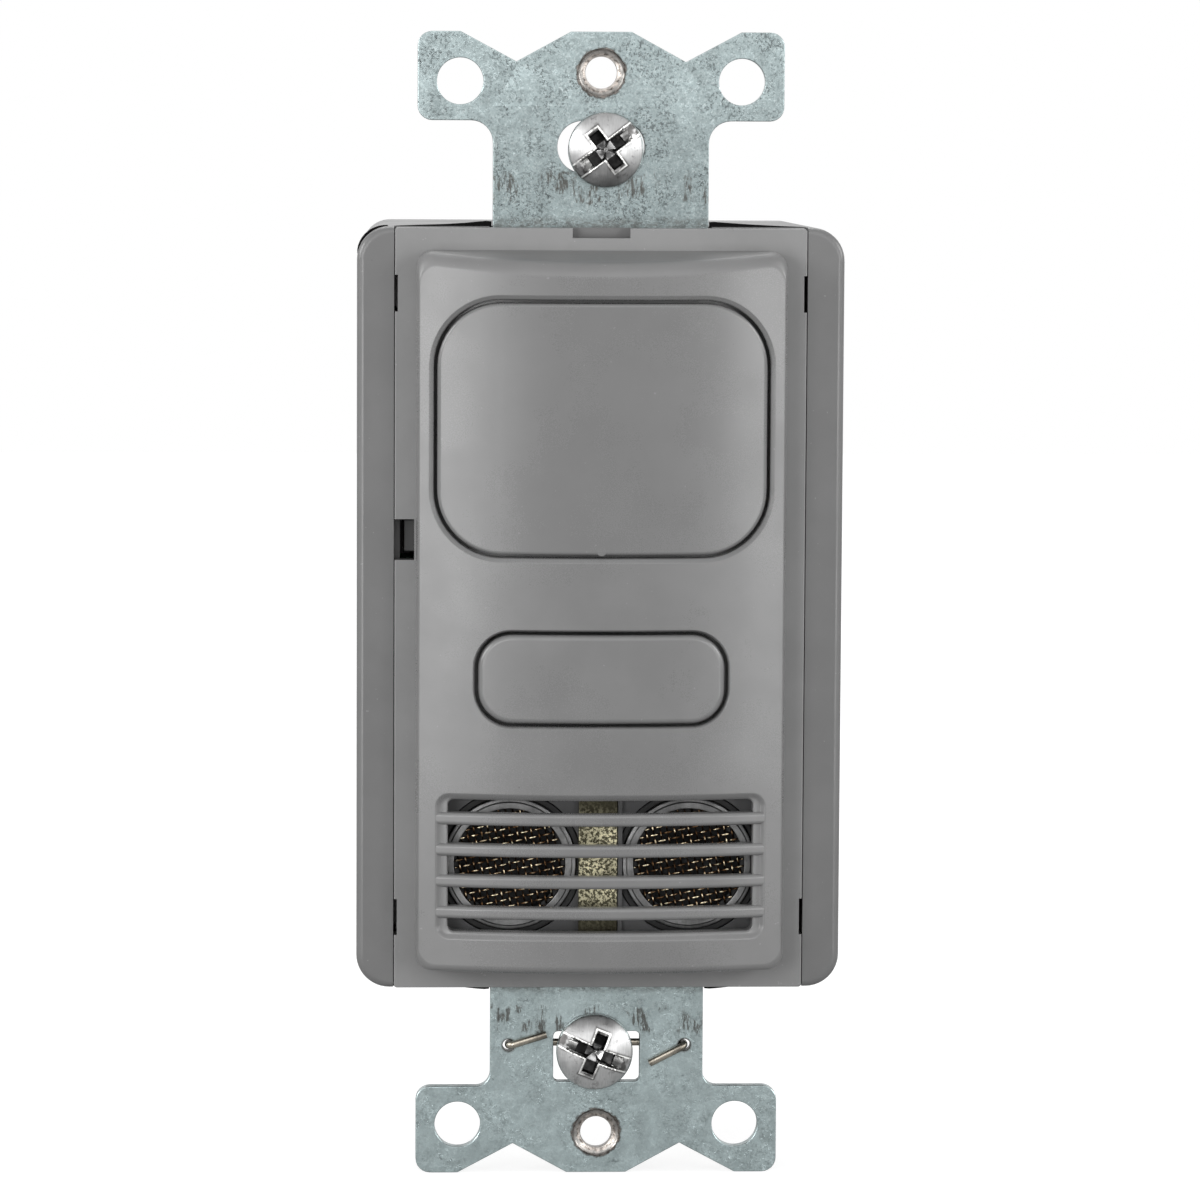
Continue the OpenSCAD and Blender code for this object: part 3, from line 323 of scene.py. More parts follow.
@dataclass(frozen=True)
class GalvanisedSteel(Finish):
    """Zinc plated sheet with fine dark pits, smudges, dark runs, bare rims at the tapped holes, painted light towards
    its ends and painted shade where it meets the body.
    """

    light: Point3 = (0.262, 0.312, 0.316)
    spangle: Point3 = (0.54, 0.6, 0.6)
    dark: Point3 = (0.06, 0.07, 0.072)
    run_and_shade: Point3 = (0.075, 0.07, 0.062)
    streak_z: float = 38.0
    body_end: Point2 = (34.9, 35.7)
    rim_r: float = 2.2
    rim_light: Point3 = (0.42, 0.375, 0.34)
    rim_plain: Point3 = (0.24, 0.235, 0.225)
    rim_lip_highlight: Point3 = (0.36, 0.34, 0.32)
    rim_dark: Point3 = (0.045, 0.036, 0.03)

    def rims(self, graph: ShaderGraph, colour: Value) -> Value:
        """Draws the bare rims of the tapped holes, a painted highlight by each hole, and the dark edges of the wire
        holes.

        Args:
            graph: Tree to draw in.
            colour: Colour so far.

        Returns:
            The colour with the rims.
        """
        hole_r = BODY.plate_hole_r
        reach = graph.reach(graph.x, abs(graph.z) - BODY.plate_hole_z)
        ragged = reach + graph.noise(0.5, 3.0).band(0.3, 0.7, -0.1, 0.1)
        ring = ragged.band(self.rim_r - 0.06, self.rim_r + 0.06, 1.0, 0.0)
        burr = graph.noise(0.5, 4.0, 0.7, shift=31.0).band(0.4, 0.6)
        bare = graph.mix(burr, self.rim_dark, self.rim_light)
        bare = graph.mix(abs(ragged - (hole_r + 0.5)).band(0.1, 0.26, 0.75, 0.0), bare, self.rim_plain)
        # Painted highlight: a lighter ring just outside each tapped hole.
        bare = graph.mix(ragged.band(hole_r + 0.24, hole_r + 0.1) * 0.7, bare, self.rim_lip_highlight)
        colour = graph.mix(ring, colour, bare)
        colour = graph.mix(abs(ragged - self.rim_r).band(0.05, 0.14, 0.6, 0.0), colour, self.rim_dark)
        small = graph.reach(abs(graph.x) - BODY.wire_hole[0], graph.z - BODY.wire_hole[1])
        return graph.mix(small.band(0.56, 0.78, 0.75, 0.0), colour, self.rim_dark)

    def runs_and_end_shade(self, graph: ShaderGraph, colour: Value) -> Value:
        """Draws the upright dark runs beside the body and the painted shade along its ends, where the strap meets it.

        Args:
            graph: Tree to draw in.
            colour: Colour so far.

        Returns:
            The colour with the runs and the painted shade.
        """
        height = abs(graph.z)
        ragged = abs(height - self.streak_z) + graph.noise(0.7, 3.0, 0.6, shift=61.0).band(0.3, 0.7, -0.5, 0.5)
        zone = ragged.band(0.9, 1.5, 1.0, 0.0)
        patch = graph.noise(1.5, 2.0, 0.5, (1.0, 1.0, 1.8), 71.0).band(0.49, 0.56)
        run = graph.noise(0.5, 4.0, 0.75, (0.4, 1.0, 2.4), 53.0).band(0.46, 0.56)
        colour = graph.mix(zone * patch * run * 0.85, colour, self.run_and_shade)
        # Painted shade: the strap darkens just above and below the body, where it meets the body's ends.
        edge = graph.noise(0.5, 4.0, 0.8, (1.4, 1.0, 0.7), 83.0).band(0.4, 0.6, 0.15, 1.0)
        return graph.mix(height.band(*self.body_end, 0.6, 0.0) * edge, colour, self.run_and_shade)

    def paint(self, graph: ShaderGraph) -> None:
        """Draws the zinc layer, its pits and smudges, the runs, painted light and shade along the strap and the bare
        rims.

        Args:
            graph: Empty tree with its coordinates.
        """
        amount = graph.z.band(-38.0, 38.0, 0.5, 1.0)
        where = graph.noise(3.2, 3.0, shift=9.0).band(0.4, 0.6, 0.35, 1.0)
        fine = graph.noise(0.23, 3.0, 0.75, shift=3.0).band(0.5, 0.6)
        coarse = graph.noise(0.4, 5.0, 0.85, shift=27.0).band(0.565, 0.63)
        smudge = graph.noise(1.9, 5.0, 0.7, (1.3, 1.0, 0.8), 41.0).band(0.62, 0.7)
        bright = graph.noise(0.2, 3.0, 0.7, shift=17.0).band(0.5, 0.66)
        holes = coarse * where * amount
        colour = graph.mix(bright * amount * 0.34, self.light, self.spangle)
        for share in (fine * where * amount * 0.74, holes * 0.9, smudge * 0.5):
            colour = graph.mix(share, colour, self.dark)
        colour = graph.shade(colour, graph.noise(4.5, 4.0, 0.6).band(0.36, 0.64, 0.93, 1.06))
        # Painted light: the strap is drawn paler towards its lower end and again towards the tip of its upper ears.
        painted_light_ends = graph.z.band(-34.0, 34.0, 1.4, 1.02) * graph.z.band(38.0, 50.0, 1.0, 1.22)
        colour = self.rims(graph, self.runs_and_end_shade(graph, graph.shade(colour, painted_light_ends)))
        roughness = graph.noise(1.2, 4.0, shift=13.0).band(0.3, 0.7, 0.27, 0.38)
        relief = graph.bump(graph.noise(0.2, 3.0, 0.6), 0.005, graph.bump(graph.noise(2.0, 2.0), 0.008))
        graph.surface(colour, roughness, graph.bump(holes, 0.012, relief), Metallic=0.85)


@dataclass(frozen=True)
class BrightMetal(Finish):
    """Plated metal with fine scratches, dull patches, grime and patches of painted reflection, and painted shade at its
    ends where set.
    """

    colour: Point3 = grey(0.6)
    grime_and_shade: Point3 = (0.05, 0.047, 0.045)
    roughness: float = 0.24
    grime_share: float = 0.35
    speckle: float = 0.0
    speckle_size: float = 0.09
    reflection_cloud: float = 0.12
    reflection_cloud_size: float = 2.2
    shaded_ends: Point3 = (0.0, 1000.0, 1001.0)
    shaded_end_tone: float = 0.12

    def edges(self, graph: ShaderGraph, colour: Value) -> Value:
        """Draws painted edge highlights and shade, which plain metal has none of."""
        return colour

    def paint(self, graph: ShaderGraph) -> None:
        """Draws scratches, dull patches, patches of painted reflection, speckle, grime, painted shade at the ends and
        painted light and shade at the edges.

        Args:
            graph: Empty tree with its coordinates.
        """
        scratch = graph.noise(0.5, 4.0, 0.7, (0.12, 1.0, 3.0), 2.0)
        dull = graph.noise(1.4, 4.0, shift=5.0)
        # Broad lighter and darker patches: partly uneven plating tone, partly painted reflection of the surroundings.
        reflection_clouds = graph.noise(self.reflection_cloud_size, 3.0, shift=12.0)
        tone = scratch.band(0.3, 0.7, 0.86, 1.08) * reflection_clouds.band(0.38, 0.62, 1.0 - self.reflection_cloud, 1.0 + 0.35 * self.reflection_cloud)
        # Painted shade: darker away from a middle height, for ends that lie in shade.
        middle, near, far = self.shaded_ends
        tone = tone * abs(graph.z - middle).band(near, far, 1.0, self.shaded_end_tone)
        colour = graph.shade(self.colour, tone)
        dirt = graph.noise(0.8, 5.0, 0.7, shift=8.0).band(0.55, 0.68, 0.0, self.grime_share)
        colour = graph.mix(dirt, colour, self.grime_and_shade)
        normal = graph.bump(scratch, 0.002)
        if self.speckle:
            spots = graph.noise(self.speckle_size, 3.0, 0.7, shift=4.0)
            colour = graph.mix(spots.band(0.45, 0.53, 0.0, self.speckle), colour, self.grime_and_shade)
            normal = graph.bump(spots, 0.02, normal)
        roughness = dull.band(0.3, 0.7, self.roughness - 0.05, self.roughness + 0.09)
        graph.surface(self.edges(graph, colour), roughness, normal, Metallic=1.0)


@dataclass(frozen=True)
class ScrewHead(BrightMetal):
    """Plated screw head with painted highlight lines and painted shade along the edges of its slot and recess."""

    place: Point2 = (0.0, 0.0)
    turn: float = 0.0
    slot_half: float = 0.63
    wing: Point2 = (2.15, 0.62)
    edge_highlight: Point3 = (0.9, 0.9, 0.88)

    def edges(self, graph: ShaderGraph, colour: Value) -> Value:
        """Draws the painted highlight lines and the painted shade by their distance from the slot and the recess.

        Args:
            graph: Tree to draw in.
            colour: Colour of the plating.

        Returns:
            The colour with the edges.
        """
        c, s = math.cos(math.radians(self.turn)), math.sin(math.radians(self.turn))
        x, z = graph.x - self.place[0], graph.z - self.place[1]
        along, across = abs(x * c + z * s), abs(z * c - x * s)
        length, width = self.wing
        wings = graph.math("MINIMUM", graph.math("MAXIMUM", along - length, across - width),
                           graph.math("MAXIMUM", across - length, along - width))
        gap = graph.math("MINIMUM", wings, across - self.slot_half)
        highlight_breaks = graph.noise(0.9, 3.0, shift=6.0).band(0.36, 0.5, 0.35, 1.0)
        shade_breaks = graph.noise(1.1, 3.0, shift=16.0).band(0.42, 0.56, 0.15, 1.0)
        # Painted shade: a dark band around the slot and the recess.
        colour = graph.mix(gap.band(0.12, 0.34, 0.85, 0.0) * shade_breaks, colour, self.grime_and_shade)
        # Painted highlight: a bright, broken line along the edges of the slot and the recess.
        return graph.mix(abs(gap - 0.04).band(0.05, 0.1, 1.0, 0.0) * highlight_breaks, colour, self.edge_highlight)


@dataclass(frozen=True)
class WovenWire(Finish):
    """Dark oxidised wire, drawn darker towards the back of the weave as painted shade, with painted highlights and
    glints on its crowns.
    """

    dark: Point3 = (0.012, 0.007, 0.004)
    flank: Point3 = (0.17, 0.088, 0.038)
    crown_highlight: Point3 = (1.0, 0.86, 0.6)
    painted_glint: Point3 = (0.95, 0.88, 0.62)
    crown_y: float = -4.75
    crown_depth: float = 0.13

    def paint(self, graph: ShaderGraph) -> None:
        """Brightens the wire towards the front of the weave: painted shade at the back, painted highlights and glints
        on the crowns.

        Args:
            graph: Empty tree with its coordinates.
        """
        front = graph.y.band(self.crown_y + self.crown_depth, self.crown_y + 0.15 * self.crown_depth)
        patch = graph.noise(1.6, 3.0).band(0.4, 0.6, 0.6, 1.0)
        flicker = graph.noise(0.6, 2.0, shift=3.0).band(0.4, 0.58, 0.35, 1.0)
        share = front * patch * flicker
        # Painted shade: near black at the back of the weave, brown on the wires' sides.
        colour = graph.mix(share.band(0.0, 0.4), self.dark, self.flank)
        # Painted highlight on the crowns of the wires.
        colour = graph.mix(share.band(0.25, 0.85), colour, self.crown_highlight)
        # Painted glints, here and there on the crowns.
        colour = graph.mix(graph.noise(0.7, 2.0, shift=19.0).band(0.62, 0.68) * front, colour, self.painted_glint)
        graph.surface(colour, share.band(0.0, 1.0, 0.5, 0.3), graph.bump(graph.noise(0.08, 2.0), 0.004), Metallic=0.9)


@dataclass(frozen=True)
class CircuitBoard(Finish):
    """Green solder mask over copper tracks, with small tinned pads."""

    mask: Point3 = (0.012, 0.09, 0.04)
    track: Point3 = (0.02, 0.16, 0.07)
    pad: Point3 = (0.62, 0.6, 0.54)
    pitch: float = 2.54

    def paint(self, graph: ShaderGraph) -> None:
        """Draws tracks, pads and a woven base.

        Args:
            graph: Empty tree with its coordinates.
        """
        lanes = graph.value("ShaderNodeTexBrick",
                            {"Vector": graph.vector(graph.x, graph.z), "Scale": 1.0, "Mortar Size": 0.28,
                             "Mortar Smooth": 0.2, "Brick Width": 3 * self.pitch, "Row Height": self.pitch}, "Fac")
        colour = graph.mix(lanes, self.mask, self.track)
        colour = graph.shade(colour, graph.noise(0.3, 2.0).band(0.3, 0.7, 0.85, 1.15))
        reach = graph.reach(*(graph.math("PINGPONG", place, self.pitch / 2) for place in (graph.x, graph.z)))
        some = graph.noise(5.0, 2.0, shift=6.0).band(0.52, 0.54)
        pads = reach.band(0.55, 0.65, 1.0, 0.0) * some
        graph.surface(graph.mix(pads, colour, self.pad), pads.band(0.0, 1.0, 0.32, 0.4),
                      graph.bump(lanes + pads, 0.03))


@dataclass(frozen=True)
class PaleSurface(Finish):
    """White studio floor that looks white to the camera and keeps a soft shadow."""

    near_lift: float = 0.84
    far_lift: float = 1.0
    near: float = 60.0
    far: float = 200.0
    tone: float = 0.3
    mirrored: float = 0.3

    def paint(self, graph: ShaderGraph) -> None:
        """Adds the white that the camera and reflections see, less of it near the object.

        Args:
            graph: Empty tree with its coordinates.
        """
        rays = graph.add("ShaderNodeLightPath").outputs
        mirrored = graph.math("MULTIPLY", rays["Is Glossy Ray"], self.mirrored)
        seen = graph.math("MAXIMUM", rays["Is Camera Ray"],
                          graph.math("MAXIMUM", mirrored, rays["Is Transmission Ray"]))
        grain = graph.noise(40.0, 2.0).band(0.3, 0.7, self.tone - 0.01, self.tone + 0.01)
        lift = graph.reach(graph.x, graph.y).band(self.near, self.far, self.near_lift, self.far_lift)
        diffuse = graph.add("ShaderNodeBsdfDiffuse", {"Color": grain})
        glow = graph.add("ShaderNodeEmission", {"Color": (*grey(1.0), 1.0), "Strength": seen * lift})
        both = graph.add("ShaderNodeAddShader", {0: diffuse, 1: glow})
        graph.add("ShaderNodeOutputMaterial", {"Surface": both})


GREY_PLASTIC = MouldedPlastic("grey_moulding", grey(0.166), 0.29)
NOTCH_PLASTIC = MouldedPlastic("shaded_notch_moulding", grey(0.12), 0.45)
# Painted light: a lighter copy of the grey moulding for the flange's front, which gets less light beside the raised
# face.
LIT_FLANGE_PLASTIC = MouldedPlastic("matt_lightened_flange_moulding", grey(0.215), 0.4)
EDGE_PLASTIC = MouldedPlastic("matt_edge_moulding", grey(0.168), 0.46)
# Painted shade: a darker copy of the grey moulding for the housing.
SHADED_HOUSING_PLASTIC = MouldedPlastic("shaded_grey_housing_moulding", grey(0.144), 0.34, scuffs=1.4)
LENS_PLASTIC = MouldedPlastic("lens_moulding", grey(0.157), 0.28, mottle=0.03)
CARRIER_PLASTIC = MouldedPlastic("carrier_moulding", (0.1, 0.1, 0.102), 0.38)
BLACK_PLASTIC = MouldedPlastic("black_moulding", grey(0.02), 0.4, mottle=0.15)
BUTTON_PLASTIC = MouldedPlastic("dark_button_moulding", grey(0.035), 0.45, mottle=0.1)
# Painted shade: near-black, almost unshiny sheet for the strips that fill the dark gaps around the strap and a ledge's
# corner.
SHADE_STRIP_BLACK = MouldedPlastic("black_gap_shade", grey(0.004), 0.75, mottle=0.1, scuffs=0.0, shine=0.06)
BOOT_RUBBER = MouldedPlastic("black_boot_rubber", grey(0.012), 0.6, 0.15, 0.004, 0.1)
STRAP_STEEL = GalvanisedSteel("zinc_strap")
SCREW_STEEL = BrightMetal("bright_zinc_screws", grey(0.44), grime_share=0.5, reflection_cloud=0.4, reflection_cloud_size=2.6)
UPPER_HEAD = ScrewHead("upper_screw_plating", grey(0.4), roughness=0.42, grime_share=0.5, reflection_cloud=0.3, reflection_cloud_size=3.2,
                       place=BODY.upper_screw, turn=37.0)
# The lower head is drawn lighter than the upper one, painted light.
LOWER_HEAD = ScrewHead("lower_screw_plating", grey(0.47), roughness=0.44, grime_share=0.4, reflection_cloud=0.25, reflection_cloud_size=3.2,
                       place=BODY.lower_screw, turn=158.0)
# Dirt and painted shade: a darker, grimier copy of the screw metal on the faces of the slot.
SLOT_STEEL = BrightMetal("grimy_shaded_slot_floors", (0.3, 0.3, 0.295), grime_share=0.9, reflection_cloud=0.5, reflection_cloud_size=1.2)
# Painted shade: near-black metal on the walls of the cross recess.
SHADED_RECESS_STEEL = BrightMetal("shaded_cross_recesses", grey(0.02), roughness=0.3, grime_share=0.5, reflection_cloud=0.6,
                           reflection_cloud_size=1.0)
FACET_STEEL = BrightMetal("bright_recess_floors", grey(0.3), roughness=0.2, grime_share=0.7, reflection_cloud=0.7, reflection_cloud_size=0.7)
# Painted highlight: near-white metal on the rim of each screw head.
RIM_HIGHLIGHT_STEEL = BrightMetal("painted_highlight_screw_rims", (0.82, 0.82, 0.8), roughness=0.2, grime_share=0.6, reflection_cloud=0.4,
                         reflection_cloud_size=1.0)
WIRE_STEEL = BrightMetal("tan_wire", (0.34, 0.31, 0.26), roughness=0.3, reflection_cloud=0.4, reflection_cloud_size=1.2)
CAN_METAL = BrightMetal("dull_can_aluminium", grey(0.25), roughness=0.5, grime_share=0.3, reflection_cloud=0.3)
CAN_SHADE = MouldedPlastic("black_can_inside", grey(0.006), 0.6, mottle=0.2, scuffs=0.0)
# The retainer bar is drawn darker towards its ends, painted shade.
CHROMATE_STEEL = BrightMetal("yellow_chromate_bar", (0.78, 0.73, 0.5), (0.05, 0.046, 0.03), 0.4, 0.3, 0.94, 0.28,
                             0.3, 2.0, (-22.9, 2.2, 5.6))
WEAVE_WIRE = WovenWire("dark_mesh_wire_painted_highlights")
GREEN_BOARD = CircuitBoard("green_board")
RELAY_PLASTIC = MouldedPlastic("blue_relay_moulding", (0.02, 0.05, 0.22), 0.35)
FILM_PLASTIC = MouldedPlastic("ochre_capacitor_moulding", (0.5, 0.34, 0.06), 0.4)
SLEEVE_PLASTIC = MouldedPlastic("dark_capacitor_sleeve", (0.02, 0.024, 0.05), 0.3)
CORE_STEEL = BrightMetal("varnished_core", (0.3, 0.26, 0.2), roughness=0.5, grime_share=0.5)
DETECTOR_METAL = BrightMetal("detector_can", (0.62, 0.61, 0.58), roughness=0.3)
SENSOR_PLASTIC = MouldedPlastic("clear_sensor_resin", (0.5, 0.5, 0.44), 0.2, mottle=0.08)
LAMP_PLASTIC = MouldedPlastic("red_lamp_resin", (0.5, 0.04, 0.03), 0.2)
NYLON = MouldedPlastic("ivory_nylon", (0.62, 0.6, 0.5), 0.45)


# Meshes in millimetres

def put_in_scene(name: str, data: bpy.types.ID) -> Piece:
    """Makes an object of mesh, curve, camera or lamp data.

    Args:
        name: Name of the object.
        data: Its data.

    Returns:
        The object, in the scene's collection.
    """
    piece = bpy.data.objects.new(name, data)
    bpy.context.scene.collection.objects.link(piece)
    return piece


def new_object(name: str, points: Sequence[Point3], faces: Sequence[Sequence[int]]) -> Piece:
    """Makes an object from points in millimetres.

    Args:
        name: Name of the piece.
        points: Its vertices.
        faces: Its faces, as rows of vertex numbers.

    Returns:
        The linked object, with its normals outward.
    """
    mesh = bpy.data.meshes.new(name)
    mesh.from_pydata(points, [], faces)
    tidy_mesh(mesh)
    return put_in_scene(name, mesh)


def tidy_mesh(mesh: bpy.types.Mesh, distance: float = 1e-4) -> None:
    """Merges doubles, drops empty faces and turns the normals outward.

    Args:
        mesh: Mesh to change.
        distance: Gap up to which points are one.
    """
    work = bmesh.new()
    work.from_mesh(mesh)
    bmesh.ops.remove_doubles(work, verts=work.verts, dist=distance)
    bmesh.ops.dissolve_degenerate(work, edges=work.edges, dist=distance)
    bmesh.ops.recalc_face_normals(work, faces=work.faces)
    work.to_mesh(mesh)
    work.free()
    mesh.update()


def bake(piece: Piece) -> Piece:
    """Turns a piece with modifiers, or a curve, into a plain mesh object of the same name.

    Args:
        piece: Object to evaluate, which is removed.

    Returns:
        The plain mesh object.
    """
    bpy.context.view_layer.update()
    graph = bpy.context.evaluated_depsgraph_get()
    mesh = bpy.data.meshes.new_from_object(piece.evaluated_get(graph), preserve_all_data_layers=True,
                                           depsgraph=graph)
    name = piece.name
    bpy.data.objects.remove(piece)
    plain = put_in_scene(name, mesh)
    mesh.name = name
    return plain


def modified(piece: Piece, kind: str, **settings: object) -> Piece:
    """Applies one modifier.

    Args:
        piece: Object to change, which is removed.
        kind: Blender's name of the modifier type.
        settings: Properties of the modifier.

    Returns:
        The changed object.
    """
    modifier = piece.modifiers.new(kind, kind)
    for name, setting in settings.items():
        setattr(modifier, name, setting)
    return bake(piece)


class Carve(Enum):
    """How tool solids change a base solid."""

    CUT = "DIFFERENCE"
    ADD = "UNION"


def carve(base: Piece, tools: Iterable[Piece], how: Carve = Carve.CUT) -> Piece:
    """Cuts tool solids out of a base solid, or adds them to it.

    Args:
        base: Closed solid.
        tools: Closed solids, which are removed afterwards.
        how: Cut or add.

    Returns:
        The new solid.
    """
    tools = list(tools)
    for tool in tools:
        modifier = base.modifiers.new("carve", "BOOLEAN")
        modifier.operation, modifier.solver, modifier.object = how.value, "MANIFOLD", tool
    result = bake(base)
    for tool in tools:
        bpy.data.objects.remove(tool)
    return result


def smooth(piece: Piece, angle: float = 32.0) -> Piece:
    """Shades a piece smoothly, with the larger faces leading.

    Args:
        piece: Object to change, which is removed.
        angle: Angle in degrees above which an edge stays sharp.

    Returns:
        The shaded object.
    """
    mesh = piece.data
    mesh.polygons.foreach_set("use_smooth", [True] * len(mesh.polygons))
    mesh.set_sharp_from_angle(angle=math.radians(angle))
    return modified(piece, "WEIGHTED_NORMAL", keep_sharp=True, weight=60)


def choose(piece: Piece, number: int, test: Callable[[Vector, Vector], bool]) -> None:
    """Gives a finish number to some faces.

    Args:
        piece: Object to change.
        number: Number of the finish.
        test: Whether a face of this centre and normal gets it.
    """
    for face in piece.data.polygons:
        if test(face.center, face.normal):
            face.material_index = number


def settle(piece: Piece, finish: Finish, slot: str, *replaces: str, more: Sequence[Finish] = (),
           body: str = "sensor_body") -> None:
    """Scales a finished piece to metres, gives it its finish and lets it ride on its body.

    Args:
        piece: Plain mesh object in millimetres.
        finish: Its finish.
        slot: Material slot of the record; not used.
        replaces: CAD nodes that it stands for.
        more: Finishes of the faces with number 1 and above.
        body: Body that it moves with.
    """
    mesh = piece.data
    mesh.transform(Matrix.Scale(MM, 4))
    numbers = [min(face.material_index, len(more)) for face in mesh.polygons]
    mesh.materials.clear()
    for each in (finish, *more):
        mesh.materials.append(each.material())
    mesh.polygons.foreach_set("material_index", numbers)
    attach(piece, body)
    if replaces:
        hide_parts(*replaces)
    LOG.info("%s: %d faces on %s", piece.name, len(mesh.polygons), body)


def join(name: str, pieces: Sequence[Piece]) -> Piece:
    """Joins plain mesh objects into one.

    Args:
        name: Name of the joined piece.
        pieces: Objects to join, which are removed.

    Returns:
        The joined object.
    """
    work = bmesh.new()
    for piece in pieces:
        work.from_mesh(piece.data)
    mesh = bpy.data.meshes.new(name)
    work.to_mesh(mesh)
    work.free()
    for piece in pieces:
        bpy.data.objects.remove(piece)
    return put_in_scene(name, mesh)


def arc(x: float, z: float, r: float, start: float, sweep: float, steps: int) -> list[Point2]:
    """Points of an arc about a centre, from an angle on, with both of its ends."""
    angles = [math.radians(start + sweep * i / steps) for i in range(steps + 1)]
    return [(x + r * math.cos(t), z + r * math.sin(t)) for t in angles]


def quarter(x: float, z: float, r: float, start: float, steps: int) -> list[Point2]:
    """Quarter circle that starts at an angle and runs clockwise."""
    return arc(x, z, r, start, -90.0, steps)


def circle(x: float, z: float, r: float, sides: int) -> list[Point2]:
    """Points of a full circle."""
    return [(x + r * math.cos(math.tau * i / sides), z + r * math.sin(math.tau * i / sides)) for i in range(sides)]


def ease(t: float) -> float:
    """Soft step from 0 to 1, and flat beyond."""
    t = min(1.0, max(0.0, t))
    return t * t * (3 - 2 * t)


def outline(w: float, zl: float, zh: float, r: float, dip: float = 0.0, steps: int = 12,
            span: int = 64) -> list[Point2]:
    """Rounded outline from the left edge over the top and back along the bottom.

    Args:
        w: Width.
        zl: Lower edge.
        zh: Upper edge.
        r: Corner radius.
        dip: How far the middle of the top edge sinks.
        steps: Steps of a corner.
        span: Steps of the top edge and of the bottom edge.

    Returns:
        Points of the outline, paired left to right so that a cap can be made of upright strips.
    """
    a = w / 2 - r
    xs = [-a + 2 * a * i / span for i in range(1, span)]
    top = [(x, zh - dip * (1 - (x / a) ** 2)) for x in xs]
    return (quarter(-a, zh - r, r, 180, steps) + top + quarter(a, zh - r, r, 90, steps)
            + quarter(a, zl + r, r, 0, steps) + [(x, zl) for x in reversed(xs)]
            + quarter(-a, zl + r, r, -90, steps))


def grown(shape: Point3, z: float, by: float, span: int = 48) -> list[Point2]:
    """Outline of a width, height and corner radius about a height, grown outwards on every side."""
    w, h, r = shape
    return outline(w + 2 * by, z - h / 2 - by, z + h / 2 + by, r + by, span=span)


def flat_ring(points: Sequence[Point2], y: float) -> list[Point3]:
    """Outline laid flat at a Y."""
    return [(x, y, z) for x, z in points]


def face_ring(points: Sequence[Point2], sink: float) -> list[Point3]:
    """Outline laid on the curved face and sunk behind it."""
    return [(x, BODY.face_y(x) + sink, z) for x, z in points]


def loft(name: str, rings: Sequence[Sequence[Point3]]) -> Piece:
    """Closed solid through rings, capped with upright strips.

    Args:
        name: Name of the piece.
        rings: Rings of equal length.

    Returns:
        The solid.
    """
    n, last = len(rings[0]), len(rings) - 1
    faces: list[tuple[int, ...]] = [(k * n + i, k * n + (i + 1) % n, (k + 1) * n + (i + 1) % n, (k + 1) * n + i)
                                    for k in range(last) for i in range(n)]
    faces += [(first + i, first + i + 1, first + n - 2 - i, first + n - 1 - i)
              for first in (0, last * n) for i in range(n // 2 - 1)]
    return new_object(name, [p for ring in rings for p in ring], faces)


def block(name: str, low: Point3, high: Point3) -> Piece:
    """Box between two corners.

    Args:
        name: Name of the piece.
        low: Corner with the lowest X, Y and Z.
        high: Corner with the highest.

    Returns:
        The box.
    """
    points = [(x, y, z) for x in (low[0], high[0]) for y in (low[1], high[1]) for z in (low[2], high[2])]
    faces = [(0, 1, 3, 2), (4, 6, 7, 5), (0, 4, 5, 1), (2, 3, 7, 6), (0, 2, 6, 4), (1, 5, 7, 3)]
    return new_object(name, points, faces)


def side_block(name: str, side: int, xs: Point2, ys: Point2, zs: Point2) -> Piece:
    """Box between two distances from the middle, on one side of it."""
    near, far = sorted((side * xs[0], side * xs[1]))
    return block(name, (near, ys[0], zs[0]), (far, ys[1], zs[1]))


def soft_block(name: str, low: Point3, high: Point3, edge: float) -> Piece:
    """Box between two corners, with rounded edges."""
    return modified(block(name, low, high), "BEVEL", width=edge, segments=3)


def lathe(name: str, profile: Sequence[Point2], x: float, z: float, sides: int = 128) -> Piece:
    """Solid turned about an axis along Y.

    Args:
        name: Name of the piece.
        profile: Radius and Y of each point, from pole to pole, or a closed loop away from the axis.
        x: Place of the axis.
        z: Place of the axis.
        sides: Number of sides.

    Returns:
        The turned solid.
    """
    points: list[Point3] = []
    rows: list[list[int]] = []
    for r, y in profile:
        pole = r < 1e-9
        rows.append([len(points) + (0 if pole else i) for i in range(sides)])
        points += [(x, y, z)] if pole else flat_ring(circle(x, z, r, sides), y)
    pairs = list(zip(rows, rows[1:]))
    if profile[0][0] > 1e-9:
        pairs.append((rows[-1], rows[0]))
    faces = [tuple(dict.fromkeys((a[i], a[(i + 1) % sides], b[(i + 1) % sides], b[i])))
             for a, b in pairs for i in range(sides)]
    return new_object(name, points, faces)


def rod(name: str, x: float, z: float, r: float, y0: float, y1: float, sides: int = 64) -> Piece:
    """Round bar along Y."""
    return lathe(name, [(0.0, y0), (r, y0), (r, y1), (0.0, y1)], x, z, sides)


def drawn(name: str, lines: Iterable[Sequence[Point3]], closed: bool, **settings: object) -> Piece:
    """Mesh of a curve of straight pieces.

    Args:
        name: Name of the piece.
        lines: Points of each line.
        closed: Whether the lines are loops.
        settings: Properties of the curve.

    Returns:
        The plain mesh object.
    """
    curve = bpy.data.curves.new(name, "CURVE")
    for key, setting in settings.items():
        setattr(curve, key, setting)
    for line in lines:
        spline = curve.splines.new("POLY")
        spline.points.add(len(line) - 1)
        for point, place in zip(spline.points, line):
            point.co = (*place, 1.0)
        spline.use_cyclic_u = closed
    return bake(put_in_scene(name, curve))


